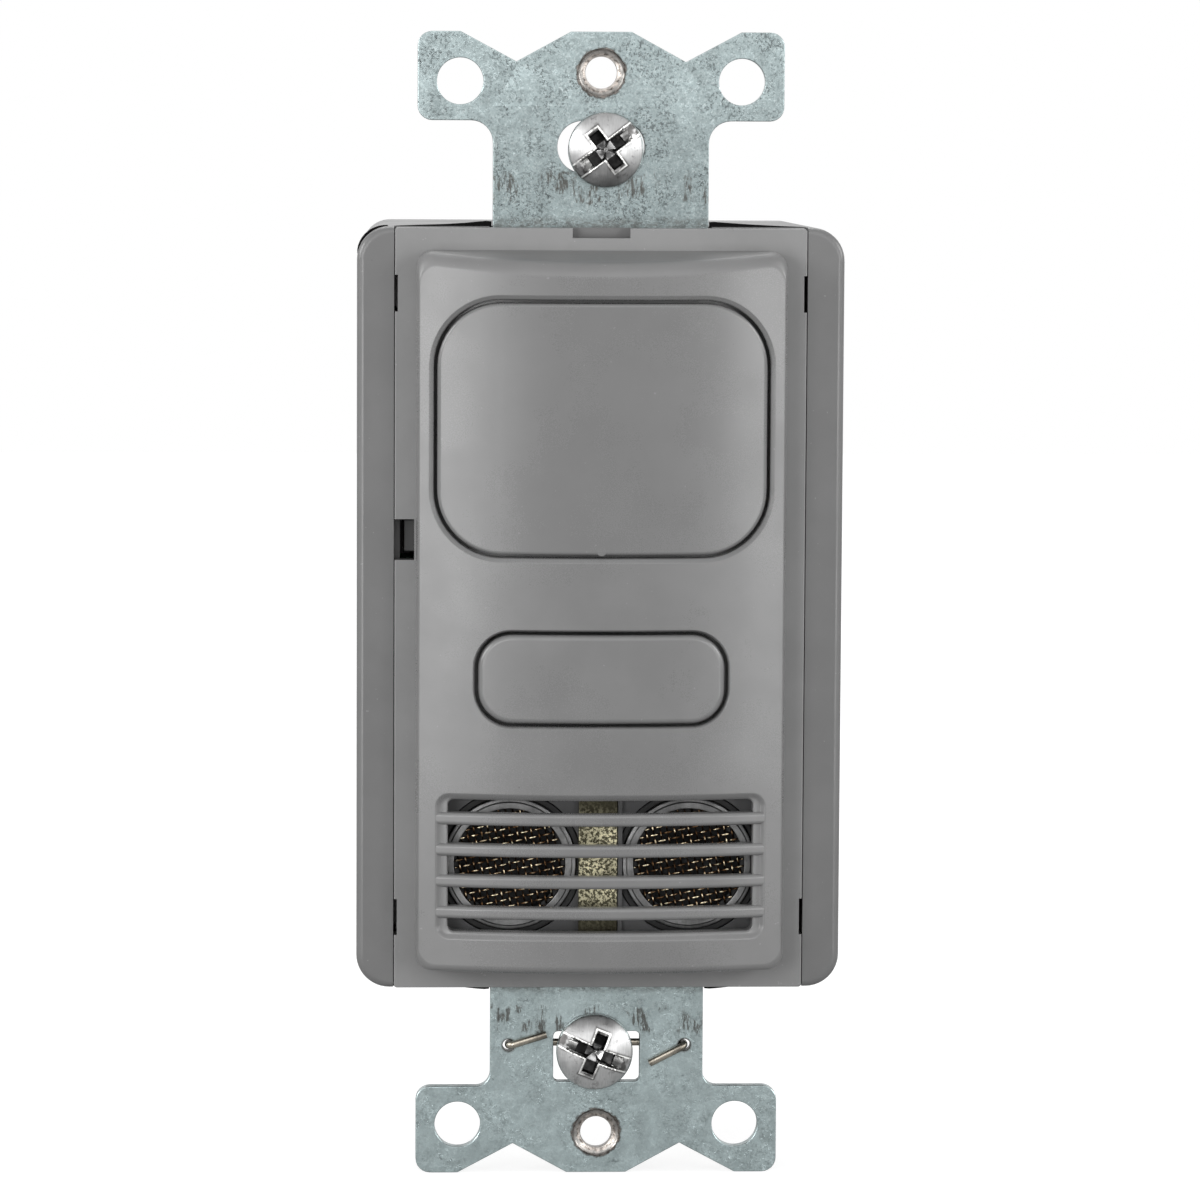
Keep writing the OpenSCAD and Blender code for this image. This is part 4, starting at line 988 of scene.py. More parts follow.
def plate(name: str, outlines: Sequence[Sequence[Point2]], y0: float, y1: float, edge: float) -> Piece:
    """Flat plate with holes and rounded edges.

    Args:
        name: Name of the piece.
        outlines: Outer outline and holes, as X and Z.
        y0: Front of the plate.
        y1: Back of the plate.
        edge: Radius of its rounded edges.

    Returns:
        The closed plate.
    """
    lines = [[(x, z, 0.0) for x, z in points] for points in outlines]
    piece = drawn(name, lines, True, dimensions="2D", fill_mode="BOTH", extrude=(y1 - y0) / 2 - edge,
                  bevel_depth=edge, bevel_resolution=2, offset=-edge)
    piece.data.transform(Matrix(((1, 0, 0, 0), (0, 0, -1, (y0 + y1) / 2), (0, 1, 0, 0), (0, 0, 0, 1))))
    tidy_mesh(piece.data)
    return piece


def tube(name: str, route: Sequence[Vector], radius: float) -> Piece:
    """Round wire along a route, with closed ends.

    Args:
        name: Name of the piece.
        route: Points of its middle line.
        radius: Radius of the wire.

    Returns:
        The closed wire.
    """
    piece = drawn(name, [route], False, dimensions="3D", bevel_depth=radius, bevel_resolution=3, use_fill_caps=True)
    tidy_mesh(piece.data)
    return piece


# Geometry Nodes

class GeometryGraph(NodeGraph):
    """A geometry tree with named inputs, run once to make a plain mesh."""

    def __init__(self, name: str) -> None:
        """Makes the tree with its output.

        Args:
            name: Name of the tree and of the piece.
        """
        super().__init__(bpy.data.node_groups.new(name, "GeometryNodeTree"))
        self.name = name
        self.values: dict[str, object] = {}
        self.tree.interface.new_socket("Geometry", in_out="OUTPUT", socket_type="NodeSocketGeometry")
        self.source = self.add("NodeGroupInput")
        self.sink = self.add("NodeGroupOutput")

    def size(self, name: str, value: object, kind: str = "NodeSocketFloat") -> Value:
        """Adds a named input.

        Args:
            name: Name of the input.
            value: Value that the modifier gives it.
            kind: Socket type.

        Returns:
            The value to build with.
        """
        self.tree.interface.new_socket(name, in_out="INPUT", socket_type=kind)
        self.values[name] = value
        return Value(self, self.source.outputs[name])

    def row(self, item: Node, count: Value, start: Value, step: Value) -> Node:
        """Copies of one thing along a line."""
        line = self.add("GeometryNodeMeshLine", {"Count": count, "Start Location": start, "Offset": step})
        return self.add("GeometryNodeInstanceOnPoints", {"Points": line, "Instance": item})

    def sweep(self, curve: Node, profile: Node) -> Node:
        """Solid of a profile along a curve, with closed ends."""
        return self.add("GeometryNodeCurveToMesh", {"Curve": curve, "Profile Curve": profile, "Fill Caps": True})

    def run(self, result: Node, finish: Finish) -> Piece:
        """Ends the tree in real geometry with its material and makes the mesh.

        Args:
            result: Node whose geometry is the result.
            finish: Finish of the piece.

        Returns:
            Plain mesh object in millimetres.
        """
        material = self.size("Finish", finish.material(), "NodeSocketMaterial")
        shaded = self.add("GeometryNodeSetShadeSmooth", {"Geometry": result})
        real = self.add("GeometryNodeRealizeInstances", {"Geometry": shaded})
        painted = self.add("GeometryNodeSetMaterial", {"Geometry": real, "Material": material})
        self.put(painted, self.sink.inputs[0])
        carrier = put_in_scene(self.name, bpy.data.meshes.new(self.name))
        modifier = carrier.modifiers.new(self.name, "NODES")
        modifier.node_group = self.tree
        for item in self.tree.interface.items_tree:
            if item.in_out == "INPUT":
                modifier[item.identifier] = self.values[item.name]
        piece = bake(carrier)
        tidy_mesh(piece.data, 1e-5)
        return piece


# Pieces

@dataclass
class MountingStrap:
    """Stamped strap with break-off ears, screw slots and a step back into the body."""

    ear_h: float = 8.0
    ear_w: float = 33.1
    corner_r: float = 1.3
    ear_flat: float = 3.85
    crown_w: float = 5.45
    vee_x: float = 7.65
    vee_d: float = 2.7
    tongue_w: float = 19.5
    upper_fillet: float = 2.0
    lower_fillet: float = 1.3
    ear_hole: Point2 = (12.72, 47.63)
    ear_hole_r: float = 2.1
    sink_r: float = 2.15
    slot: Point2 = (7.9, 4.66)
    upper_slot_z: float = 41.75
    lower_slot_z: float = -41.35
    wire_hole_r: float = 0.55
    joggle: Point3 = (33.5, 32.5, 1.2)
    frame_size: Point2 = (32.6, 64.6)
    frame_rail: float = 1.4
    frame_windows: tuple[Point2, Point2] = ((-11.98, 29.0), (-29.9, -15.38))
    root_z: float = 32.2
    edge: float = 0.1
    score: Point3 = (1.6, -1.4, -1.288)

    def end_outline(self, fillet: float) -> list[Point2]:
        """Outline of the tongue and a pair of ears, pointing up.

        Args:
            fillet: Radius between an ear and the tongue.

        Returns:
            Points, clockwise from the tongue's left foot.
        """
        half, r = BODY.strap_len / 2, self.corner_r
        ear_z, ear_x, tongue_x = half - self.ear_h, self.ear_w / 2, self.tongue_w / 2
        left: list[Point2] = [(-tongue_x, self.root_z)]
        left += reversed(quarter(-tongue_x - fillet, ear_z - fillet, fillet, 90, 8))
        left += quarter(-ear_x + r, ear_z + r, r, 270, 6) + quarter(-ear_x + r, half - r, r, 180, 6)
        left += [(-ear_x + self.ear_flat, half), (-self.vee_x, half - self.vee_d), (-self.crown_w / 2, half)]
        return left + [(-x, z) for x, z in reversed(left)]

    def end_plate(self, name: str, up: int) -> Piece:
        """One end of the strap, with its holes and its step.

        Args:
            name: Name of the part.
            up: 1 for the upper end and -1 for the lower one.

        Returns:
            The closed plate.
        """
        outer = [(x, up * z) for x, z in self.end_outline(self.upper_fillet if up > 0 else self.lower_fillet)]
        z, (w, h) = up * BODY.plate_hole_z, self.slot
        holes = [circle(0.0, z, BODY.plate_hole_r, 72)]
        holes += [circle(side * self.ear_hole[0], up * self.ear_hole[1], self.ear_hole_r, 72) for side in SIDES]
        if up > 0:
            slot_z, slot_r, steps = self.upper_slot_z, h / 2 - 0.02, 18
        else:
            slot_z, slot_r, steps = self.lower_slot_z, 0.45, 6
        holes.append(outline(w, slot_z - h / 2, slot_z + h / 2, slot_r, steps=steps, span=6))
        if up < 0:
            holes += [circle(side * BODY.wire_hole[0], BODY.wire_hole[1], self.wire_hole_r, 40) for side in SIDES]
        part = plate(name, [outer, *holes], -BODY.strap_t, 0.0, self.edge)
        r = self.sink_r
        sink = lathe("sink", [(0.0, -0.86), (BODY.plate_hole_r + 0.1, -0.86), (r - 0.25, -1.0), (r - 0.08, -1.14),
                              (r + 0.05, -1.34), (r + 0.2, -1.6), (0.0, -1.6)], 0.0, z, 96)
        part = carve(part, [sink, *self.creases(up)])
        self.bend(part)
        return part

    def creases(self, up: int) -> list[Piece]:
        """Shallow scores that let the ears break off, from the vee notches to the ears' roots.

        Args:
            up: 1 for the upper end and -1 for the lower one.

        Returns:
            Tool solids, one for each ear.
        """
        tools, (width, front, floor) = [], self.score
        for side in SIDES:
            a = Vector((side * self.vee_x, up * (BODY.strap_len / 2 - self.vee_d - 0.4)))
            b = Vector((side * (self.tongue_w / 2 + 0.7), up * (BODY.strap_len / 2 - self.ear_h + 0.5)))
            across = (b - a).normalized().orthogonal() * width
            rows = [row for p in (a, b) for row in ((p + across, front), (p - across, front), (p, floor))]
            tools.append(new_object("score", [(p.x, y, p.y) for p, y in rows],
                                    [(0, 1, 2), (3, 5, 4), (0, 3, 4, 1), (1, 4, 5, 2), (2, 5, 3, 0)]))
        return tools

    def bend(self, part: Piece) -> None:
        """Steps the tongue back behind the cover, over a soft bend.

        Args:
            part: End of the strap, which is changed.
        """
        start, end, depth = self.joggle
        work = bmesh.new()
        work.from_mesh(part.data)
        for i in range(9):
            z = start + (end - start) * i / 8
            for sign in SIDES:
                bmesh.ops.bisect_plane(work, geom=work.verts[:] + work.edges[:] + work.faces[:],
                                       plane_co=(0, 0, sign * z), plane_no=(0, 0, 1))
        for vertex in work.verts:
            vertex.co.y += depth * ease((start - abs(vertex.co.z)) / (start - end))
        work.to_mesh(part.data)
        work.free()

    def inner_frame(self) -> Piece:
        """Frame of the strap inside the body, with its two windows.

        Returns:
            The closed plate.
        """
        w, h = self.frame_size
        rings = [(w, -h / 2, h / 2), *((w - 2 * self.frame_rail, low, high) for low, high in self.frame_windows)]
        return plate("frame", [outline(*ring, 1.0, steps=6, span=6) for ring in rings], -0.1, 1.2, self.edge)

    def build(self) -> None:
        """Makes the strap and puts it in place of its node."""
        parts = [self.end_plate("upper_end", 1), self.end_plate("lower_end", -1), self.inner_frame()]
        settle(smooth(join("strap_sheet", parts), 28), STRAP_STEEL, "galvanised_steel", "mounting_strap")


@dataclass
class BoxScrew:
    """Pan head screw with a straight slot, a cross recess and a rolled thread."""

    end: str
    plating: ScrewHead
    head_r: float = 3.5
    head_h: float = 2.1
    rim_h: float = 0.7
    neck_r: float = 1.5
    neck_len: float = 1.95
    core_r: float = 1.36
    thread_r: float = 1.75
    pitch: float = 0.794
    length: float = 22.0

    def head(self) -> Piece:
        """Head and neck at the origin, slot along X.

        Returns:
            The closed solid, with finish 1 in the slot, 2 in the wings, which is painted shade, 3 on the recess
            floor, 4 on the rim, which is a painted highlight, and 5 on the underside and the shank.
        """
        r, rise, top = self.head_r, self.head_h - self.rim_h, -self.head_h
        dome = (r * r + rise * rise) / (2 * rise)

        def dome_y(x: float) -> float:
            """Y of the dome at a distance from the axis."""
            return top + dome - math.sqrt(dome * dome - x * x)
        profile: list[Point2] = [(0.0, top)] + [(x, dome_y(x)) for x in ((r - 0.2) * i / 12 for i in range(1, 13))]
        profile += [(r - 0.07, -self.rim_h - 0.04), (r, -self.rim_h + 0.1), (r, -0.12), (r - 0.12, 0.0),
                    (self.neck_r + 0.15, 0.0), (self.neck_r, 0.1), (self.neck_r, self.neck_len),
                    (self.core_r, self.neck_len + 0.25), (self.core_r, self.length - 0.6),
                    (self.core_r - 0.5, self.length), (0.0, self.length)]
        solid = lathe(self.end + "_screw_dressed", profile, 0.0, 0.0, 96)
        piece = carve(solid, [self.slot(top), self.wing(top, True), self.wing(top, False)])

        def reach(centre: Vector) -> float:
            """Distance from the axis."""
            return math.hypot(centre.x, centre.z)

        def inside(c: Vector) -> bool:
            """Whether a face lies below the dome."""
            return reach(c) < r - 0.05 and dome_y(reach(c)) + 0.05 < c.y < -0.02
        choose(piece, 1, lambda c, n: inside(c))
        choose(piece, 2, lambda c, n: inside(c) and (abs(c.z) > 0.64 or c.y > top + 0.82))
        choose(piece, 3, lambda c, n: reach(c) < 0.75 and c.y > top + 1.2)
        choose(piece, 4, lambda c, n: r - 0.16 < reach(c) and -0.8 < c.y < -0.55)
        choose(piece, 5, lambda c, n: c.y > -0.02 or reach(c) > r + 0.01)
        return piece

    def slot(self, top: float) -> Piece:
        """Straight slot along X, whose floor has fine lines along it.

        Args:
            top: Y of the dome's middle.

        Returns:
            The tool solid.
        """
        half = 2 * self.head_r
        section = [(-0.63, -1.0), (-0.63, 0.8), (-0.45, 0.7), (-0.25, 0.8), (0.0, 0.68), (0.25, 0.8), (0.45, 0.7),
                   (0.63, 0.8), (0.63, -1.0)]
        n = len(section)
        points = [(x, top + y, z) for x in (-half, half) for z, y in section]
        faces: list[tuple[int, ...]] = [(i, (i + 1) % n, n + (i + 1) % n, n + i) for i in range(n)]
        return new_object("slot", points, [*faces, tuple(range(n)), tuple(range(n, 2 * n))])

    def wing(self, top: float, along: bool) -> Piece:
        """Tapered pair of wings of the cross recess.

        Args:
            top: Y of the dome's middle.
            along: Whether they lie along X.

        Returns:
            The tool solid.
        """
        rows: list[Point3] = []
        for y, long, wide in ((-0.6, 2.15, 0.62), (1.15, 1.7, 0.5), (1.4, 0.8, 0.44), (1.75, 0.2, 0.12)):
            for sx, sz in ((-1, -1), (1, -1), (1, 1), (-1, 1)):
                u, v = sx * long, sz * wide
                rows.append((u, top + y, v) if along else (v, top + y, u))
        faces: list[tuple[int, ...]] = [(0, 1, 2, 3), (12, 13, 14, 15)]
        faces += [(k + i, k + (i + 1) % 4, k + 4 + (i + 1) % 4, k + 4 + i) for k in (0, 4, 8) for i in range(4)]
        return new_object("wing", rows, faces)

    def thread(self) -> Piece:
        """Helical ridge of the thread, made by a geometry tree.

        Returns:
            The ridge at the origin, along Y.
        """
        graph = GeometryGraph(self.end + "_screw_dressed_thread")
        radius = graph.size("Thread Radius", self.thread_r)
        core = graph.size("Core Radius", self.core_r)
        run = graph.size("Thread Length", self.length - self.neck_len - 0.9)
        turns = run / graph.size("Pitch", self.pitch)
        middle = (radius + core) * 0.5
        helix = graph.add("GeometryNodeCurveSpiral", {"Resolution": 40, "Rotations": turns, "Start Radius": middle,
                                                      "End Radius": middle, "Height": run})
        ridge = graph.add("GeometryNodeCurvePrimitiveCircle", {"Resolution": 6, "Radius": (radius - core) * 0.62},
                          mode="RADIUS")
        laid = graph.add("GeometryNodeTransform", {"Geometry": graph.sweep(helix, ridge),
                                                   "Rotation": (math.radians(-90), 0.0, 0.0),
                                                   "Translation": (0.0, self.neck_len + 0.3, 0.0)})
        return graph.run(laid, SCREW_STEEL)

    def build(self) -> None:
        """Makes the screw and puts it in place of its node."""
        piece = join(self.end + "_screw_dressed", [smooth(self.head(), 30), self.thread()])
        x, z = self.plating.place
        turn = Matrix.Rotation(math.radians(-self.plating.turn), 4, "Y")
        piece.data.transform(Matrix.Translation((x, -BODY.strap_t, z)) @ turn)
        settle(smooth(piece, 30), self.plating, "screw_steel", self.end + "_mounting_screw",
               more=[SLOT_STEEL, SHADED_RECESS_STEEL, FACET_STEEL, RIM_HIGHLIGHT_STEEL, SCREW_STEEL], body=self.end + "_screw")


@dataclass
class RetainerWire:
    """Wire that bows over the lower screw's neck, with its ends folded down on the strap."""

    radius: float = 0.34
    bow_r: float = 1.84
    front_y: float = -1.63
    rear_y: float = 0.33
    end_length: float = 3.6
    left_turn: float = 17.0
    right_turn: float = 207.0
    fold: float = 0.6
    bow_fold: float = 0.3

    def corner(self, a: Vector, b: Vector, c: Vector, reach: float) -> list[Vector]:
        """Points of a soft corner at b on the way from a to c."""
        p, q = b + reach * (a - b).normalized(), b + reach * (c - b).normalized()
        return [(1 - t) ** 2 * p + 2 * t * (1 - t) * b + t * t * q for t in (i / 6 for i in range(7))]

    def side(self, side: int, turn: float) -> list[Vector]:
        """Corners of one half of the route, from its folded end to the bow.

        Args:
            side: -1 for the left half and 1 for the right one.
            turn: Direction of the folded end, in degrees.

        Returns:
            Folded end, front of the hole, back of the hole and start of the bow.
        """
        (hole_x, z), (screw_x, screw_z), t = BODY.wire_hole, BODY.lower_screw, math.radians(turn)
        x, dip = side * hole_x, math.asin((z - screw_z) / self.bow_r)
        return [Vector((x + self.end_length * math.cos(t), self.front_y, z + self.end_length * math.sin(t))),
                Vector((x, self.front_y, z)), Vector((x, self.rear_y, z)),
                Vector((screw_x + side * self.bow_r * math.cos(dip), self.rear_y, z))]

    def route(self) -> list[Vector]:
        """Whole route of the wire.

        Returns:
            Points of its middle line, from its left end to its right end.
        """
        left, right = self.side(-1, self.left_turn), self.side(1, self.right_turn)
        (x, z), y = BODY.lower_screw, self.rear_y
        dip = math.asin((BODY.wire_hole[1] - z) / self.bow_r)
        angles = [math.pi - dip - (math.pi - 2 * dip) * i / 16 for i in range(1, 16)]
        bow = [Vector((x + self.bow_r * math.cos(t), y, z + self.bow_r * math.sin(t))) for t in angles]
        points = [left[0]] + self.corner(*left[:3], self.fold) + self.corner(*left[1:], self.fold)
        points += self.corner(left[2], left[3], bow[0], self.bow_fold) + bow
        points += self.corner(bow[-1], right[3], right[2], self.bow_fold)
        points += self.corner(right[3], right[2], right[1], self.fold)
        return points + self.corner(right[2], right[1], right[0], self.fold) + [right[0]]

    def build(self) -> None:
        """Makes the wire and puts it in place of its node."""
        settle(smooth(tube("retainer_wire", self.route(), self.radius), 50), WIRE_STEEL, "wire", "screw_retainer_wire")


@dataclass
class RearHousing:
    """Moulded box behind the strap, with ledges beside the cover and lead holes in its back."""

    depth: float = 36.0
    corner_r: float = 3.0
    edge_r: float = 0.6
    back_r: float = 0.8
    taper: float = 0.6
    wall: float = 1.8
    inner_x: float = 19.0
    inner_z: float = 32.6
    tongue_x: float = 10.05
    lead_z: float = -26.0
    lead_pitch: float = 5.0
    lead_r: float = 1.8
    shade_strip_back: float = -0.35
    left_crest: tuple[Point2, ...] = ((9.86, 0.4), (10.3, 0.42), (11.5, 0.34), (13.5, 0.2), (16.5, 0.06))
    right_crest: tuple[Point2, ...] = ((9.86, 0.4), (10.3, 0.44), (11.0, 0.38), (12.3, 0.25), (14.0, 0.14),
                                       (16.5, 0.06))
    lower_crest: tuple[Point2, ...] = ((9.86, 0.46), (10.3, 0.5), (10.9, 0.46), (12.2, 0.32), (13.8, 0.2),
                                       (14.2, 0.03))

    def ring(self, y: float, inset: float) -> list[Point3]:
        """Outline of the box at a depth."""
        w, h = BODY.body_w / 2 - inset, BODY.body_h / 2 - inset
        return flat_ring(outline(2 * w, -h, h, max(0.4, self.corner_r - 0.6 * inset), span=8), y)

    def outer(self) -> Piece:
        """Closed outer shape with rounded front and back edges.

        Returns:
            The solid.
        """
        turns = [(1 - math.cos(math.radians(15 * i)), 1 - math.sin(math.radians(15 * i))) for i in range(7)]
        rings = [self.ring(self.depth - self.back_r * c, self.taper + self.back_r * s) for c, s in turns]
        rings += [self.ring(BODY.flange_y + self.edge_r * s, self.edge_r * c) for c, s in turns]
        return loft("housing_moulding", rings)

    def cavity(self) -> Piece:
        """Hollow behind the strap.

        Returns:
            The tool solid.
        """
        x, z = self.inner_x, self.inner_z
        return loft("cavity", [flat_ring(outline(2 * x - 1.2, -z + 0.6, z - 0.6, 1.2, span=6), self.depth - self.wall),
                               flat_ring(outline(2 * x, -z, z, 1.2, span=6), 1.2)])

    def build(self) -> None:
        """Makes the housing and its inner ribs, and puts them in place of the node."""
        x, z, tongue, h = BODY.ledge_x, self.inner_z, self.tongue_x, BODY.body_h
        tools = [self.cavity(), block("channel", (-x, BODY.flange_y - 1, -h), (x, BODY.flange_back, h)),
                 block("front_room", (-x, BODY.flange_back - 0.02, -z), (x, 1.25, z)),
                 block("tongue_slot", (-tongue, BODY.flange_back - 1, -h), (tongue, 1.2, h))]
        tools += [rod("lead", (i - 1.5) * self.lead_pitch, self.lead_z, self.lead_r, self.depth - 3, self.depth + 1)
                  for i in range(4)]
        piece, extra, far = carve(self.outer(), tools), [], self.inner_x + 0.4
        for side in SIDES:
            extra += [side_block("rib", side, (self.inner_x - 1.9, far), (9.6, 29.0), (z0 - 0.6, z0 + 0.6))
                      for z0 in (-20.0, 0.0, 20.0)]
            extra += [side_block("post", side, (14.5, far), (1.2, 34.6), zs) for zs in ((-33.0, -30.9), (30.9, 33.0))]
        guide = block("guide", (-18.7, -0.9, BODY.cell_z - 2.1), (-18.08, 1.5, BODY.cell_z + 1.6))
        settle(smooth(join("housing_moulding", [piece, *extra, guide]), 30), SHADED_HOUSING_PLASTIC, "grey_plastic",
               "rear_housing")
        self.gap_shade_strips()

    def gap_shade_strips(self) -> None:
        """Thin black strips that stand in for the shade in the gaps around the strap's tongue and along the corner of a
        ledge, painted shade.
        """
        edge, shade_strips = BODY.body_h / 2, []
        for up, side, crest in ((1, -1, self.right_crest), (1, 1, self.left_crest), (-1, -1, self.lower_crest),
                                (-1, 1, self.lower_crest)):
            end = 0.2 if up < 0 else 0.0
            points = [*crest, (18.15, end), (18.75, end - 0.04), (18.75, self.shade_strip_back), (crest[0][0], self.shade_strip_back)]
            shade_strips.append(plate("lip", [[(side * x, up * (edge + z)) for x, z in points]], -1.26, -0.3, 0.02))
        # Painted shade: a black strip along the upper corner of the left ledge.
        r, turns = self.corner_r, [math.radians(94 + 7 * i) for i in range(12)]
        x, z = r - BODY.body_w / 2, edge - r
        swell = [0.04 + 0.18 * math.sin(math.radians(180 * (i + 0.5) / 12)) for i in range(12)]
        lip = [(max(x - r + 0.03, x + (r + by) * math.cos(t)), z + (r + by) * math.sin(t))
               for t, by in zip(turns, swell)]
        lip += [(x + (r - 0.25) * math.cos(t), z + (r - 0.25) * math.sin(t)) for t in reversed(turns)]
        shade_strips.append(plate("corner_shade_strip", [lip], -1.5, -1.1, 0.01))
        settle(smooth(join("gap_shade_strips", shade_strips), 30), SHADE_STRIP_BLACK, "rubber")


@dataclass
class FrontCover:
    """Moulded cover with a flange, a raised curved face, its openings and a louvred grille."""

    flange_grow: float = 0.08
    flange_top: float = 0.1
    corner_r: float = 1.5
    dip: float = 0.85
    top_r: float = 1.5
    side_r: float = 0.3
    bottom_r: float = 0.7
    cavity_w: float = 30.5
    cavity_h: float = 62.2
    lens_open: Point3 = (30.2, 23.1, 6.0)
    button_open: Point3 = (22.8, 8.6, 3.35)
    recess: Point3 = (29.1, 12.6, 0.9)
    recess_d: float = 0.34
    grille: Point3 = (27.5, 12.0, 0.55)
    notch: Point2 = (2.6, 1.0)
    latch_z: Point2 = (28.6, -28.1)
    bar_count: int = 4
    bar_pitch: float = 2.84
    bar_t: float = 1.12
    bar_sink: float = 0.02
    bar_depth: float = 1.6

    def flange(self) -> Piece:
        """Flat flange around the raised face, with softened front edges.

        Returns:
            The solid.
        """
        rings = []
        for y, inset in ((BODY.flange_back, 0.0), (BODY.flange_y + 0.1, 0.0), (BODY.flange_y + 0.03, 0.03),
                         (BODY.flange_y, 0.1)):
            w, h = BODY.cover_w / 2 + self.flange_grow - inset, BODY.body_h / 2 - inset
            rings.append(flat_ring(outline(2 * w, -h, h - self.flange_top, 0.3, span=8, steps=5), y))
        return loft("cover_moulding", rings)

    def raised_face(self) -> Piece:
        """Raised face with a rounded front edge that widens along the top.

        Returns:
            The solid.
        """
        zh, zl = BODY.face_h / 2, -BODY.face_h / 2
        wall = outline(BODY.face_w, zl, zh, self.corner_r)
        rings = [flat_ring(wall, BODY.flange_y + 0.5), flat_ring(wall, BODY.flange_y)]
        steps = 10
        for t in (math.radians(90 * i / steps) for i in range(steps + 1)):
            inset, ring = 1 - math.cos(t), []
            for x, z in outline(BODY.face_w - 2 * self.side_r * inset, zl + self.bottom_r * inset,
                                zh - self.top_r * inset, self.corner_r, self.dip):
                top, bottom = ease((z - zh + 5) / 3), ease((zl + 3 - z) / 2)
                r = self.side_r + (self.top_r - self.side_r) * top + (self.bottom_r - self.side_r) * bottom
                ring.append((x, BODY.face_y(x) + r * (1 - math.sin(t)), z))
            rings.append(ring)
        return loft("raised_face", rings)

    def cavity(self) -> Piece:
        """Hollow of the cover, with an even wall behind the curved face.

        Returns:
            The tool solid.
        """
        radius = BODY.face_radius - BODY.front_wall
        points = outline(self.cavity_w, -self.cavity_h / 2, self.cavity_h / 2, 0.5, steps=4, span=48)
        front = [(x, BODY.face_axis_y - math.sqrt(radius ** 2 - x * x), z) for x, z in points]
        return loft("hollow", [flat_ring(points, 1.0), front])

    def opening(self, shape: Point3, z: float, *steps: Point2) -> Piece:
        """Tool for an opening that follows the face, by growth and depth from back to front."""
        return loft("opening", [face_ring(grown(shape, z, grow), sink) for grow, sink in steps])

    def build(self) -> None:
        """Makes the cover and its louvre bars, and puts them in place of the node."""
        piece = carve(self.flange(), [self.raised_face()], Carve.ADD)
        half, front, high, (notch_x, notch_h) = BODY.cover_w / 2, BODY.flange_y, BODY.body_h / 2, self.notch
        tools = [self.cavity(),
                 self.opening(self.lens_open, BODY.lens_z, (0, 4.0), (0, 0.42), (0.05, 0.3), (0.12, 0.24), (0.38, 0.04),
                              (0.48, 0.0), (0.58, -0.1)),
                 self.opening(self.button_open, BODY.button_z, (0, 4.0), (0, 0.3), (0.08, 0.1), (0.2, 0.0),
                              (0.3, -0.1)),
                 self.opening(self.recess, BODY.grille_z - 0.05, *self.funnel()),
                 self.opening(self.grille, BODY.grille_z, (0, 4.0), (0, 0.54), (0.05, 0.43), (0.16, 0.35),
                              (0.2, 0.28)),
                 block("window", (-half - 1, front - 0.6, BODY.cell_z - 1.85), (-16.8, 1.0, BODY.cell_z + 1.85)),
                 block("notch", (-notch_x, front - 1, high - notch_h), (notch_x, -1.9, BODY.body_h))]
        tools += [side_block("latch_slot", side, (half - 0.2, half + 1), (front - 1, 1.0), (z - 1.65, z + 1.65))
                  for side in SIDES for z in self.latch_z]
        piece = smooth(carve(piece, tools), 34)
        # Finish 1 is the lighter flange, painted light; finish 2 is the rougher top edge of the face; finish 3 is the
        # darker notch, painted shade.
        choose(piece, 1, lambda c, n: abs(c.y - front) < 0.19
               and (abs(c.x) > notch_x + 0.05 or c.z < high - notch_h - 0.2 or c.y < front + 0.05))
        choose(piece, 2, lambda c, n: c.z > 0 and n.z > 0.16 and c.y < front - 0.3
               and (abs(c.x) > 15.4 or c.z > BODY.face_h / 2 - 3.4))
        choose(piece, 3, lambda c, n: abs(c.x) < notch_x + 0.05 and c.z > high - notch_h - 0.2 and c.y > front + 0.05)
        settle(piece, GREY_PLASTIC, "grey_plastic", "front_cover", more=[LIT_FLANGE_PLASTIC, EDGE_PLASTIC, NOTCH_PLASTIC])
        self.louvres()
        self.latches()

    def funnel(self) -> list[Point2]:
        """Growth and depth of the soft slope around the grille, from its floor up to the face."""
        slope = [(-0.2 + 0.6 * t, self.recess_d * (1 - ease(t))) for t in (i / 10 for i in range(11))]
        return [(-0.42, self.recess_d + 0.02), *slope, (0.5, -0.1)]

    def louvres(self) -> None:
        """Curved bars across the grille, repeated by a geometry tree."""
        graph = GeometryGraph("louvre_bars")
        radius = graph.size("Front Radius", BODY.face_radius - self.bar_sink)
        depth = graph.size("Bar Depth", self.bar_depth)
        thick = graph.size("Bar Thickness", self.bar_t)
        pitch = graph.size("Bar Pitch", self.bar_pitch)
        count = graph.size("Bar Count", self.bar_count, "NodeSocketInt")
        reach = graph.size("Bar Reach", math.asin((self.recess[0] / 2 + 0.5) / BODY.face_radius))
        line = graph.add("GeometryNodeCurveArc", {"Resolution": 72, "Radius": radius - depth * 0.5,
                                                  "Start Angle": graph.math("SUBTRACT", -math.pi / 2, reach),
                                                  "Sweep Angle": reach * 2.0}, mode="RADIUS")
        section = graph.add("GeometryNodeCurvePrimitiveQuadrilateral", {"Width": depth, "Height": thick},
                            mode="RECTANGLE")
        rounded = graph.add("GeometryNodeFilletCurve", {"Curve": section, "Count": 5, "Limit Radius": True,
                                                        "Radius": thick * 0.32}, mode="POLY")
        first = graph.vector(y=BODY.face_axis_y, z=(count - 1) * (pitch * -0.5) + BODY.grille_z)
        bars = graph.row(graph.sweep(line, rounded), count, first, graph.vector(z=pitch))
        settle(smooth(graph.run(bars, GREY_PLASTIC), 40), GREY_PLASTIC, "grey_plastic")

    def latches(self) -> None:
        """Snap arms that hook behind the housing's ledges."""
        arms = [side_block("arm", side, xs, ys, (z - 1.4, z + 1.4)) for side in SIDES for z in self.latch_z
                for xs, ys in (((17.3, 18.4), (-1.7, 2.8)), ((18.0, 18.94), (1.3, 2.4)))]
        settle(smooth(join("cover_latches", arms)), GREY_PLASTIC, "grey_plastic")


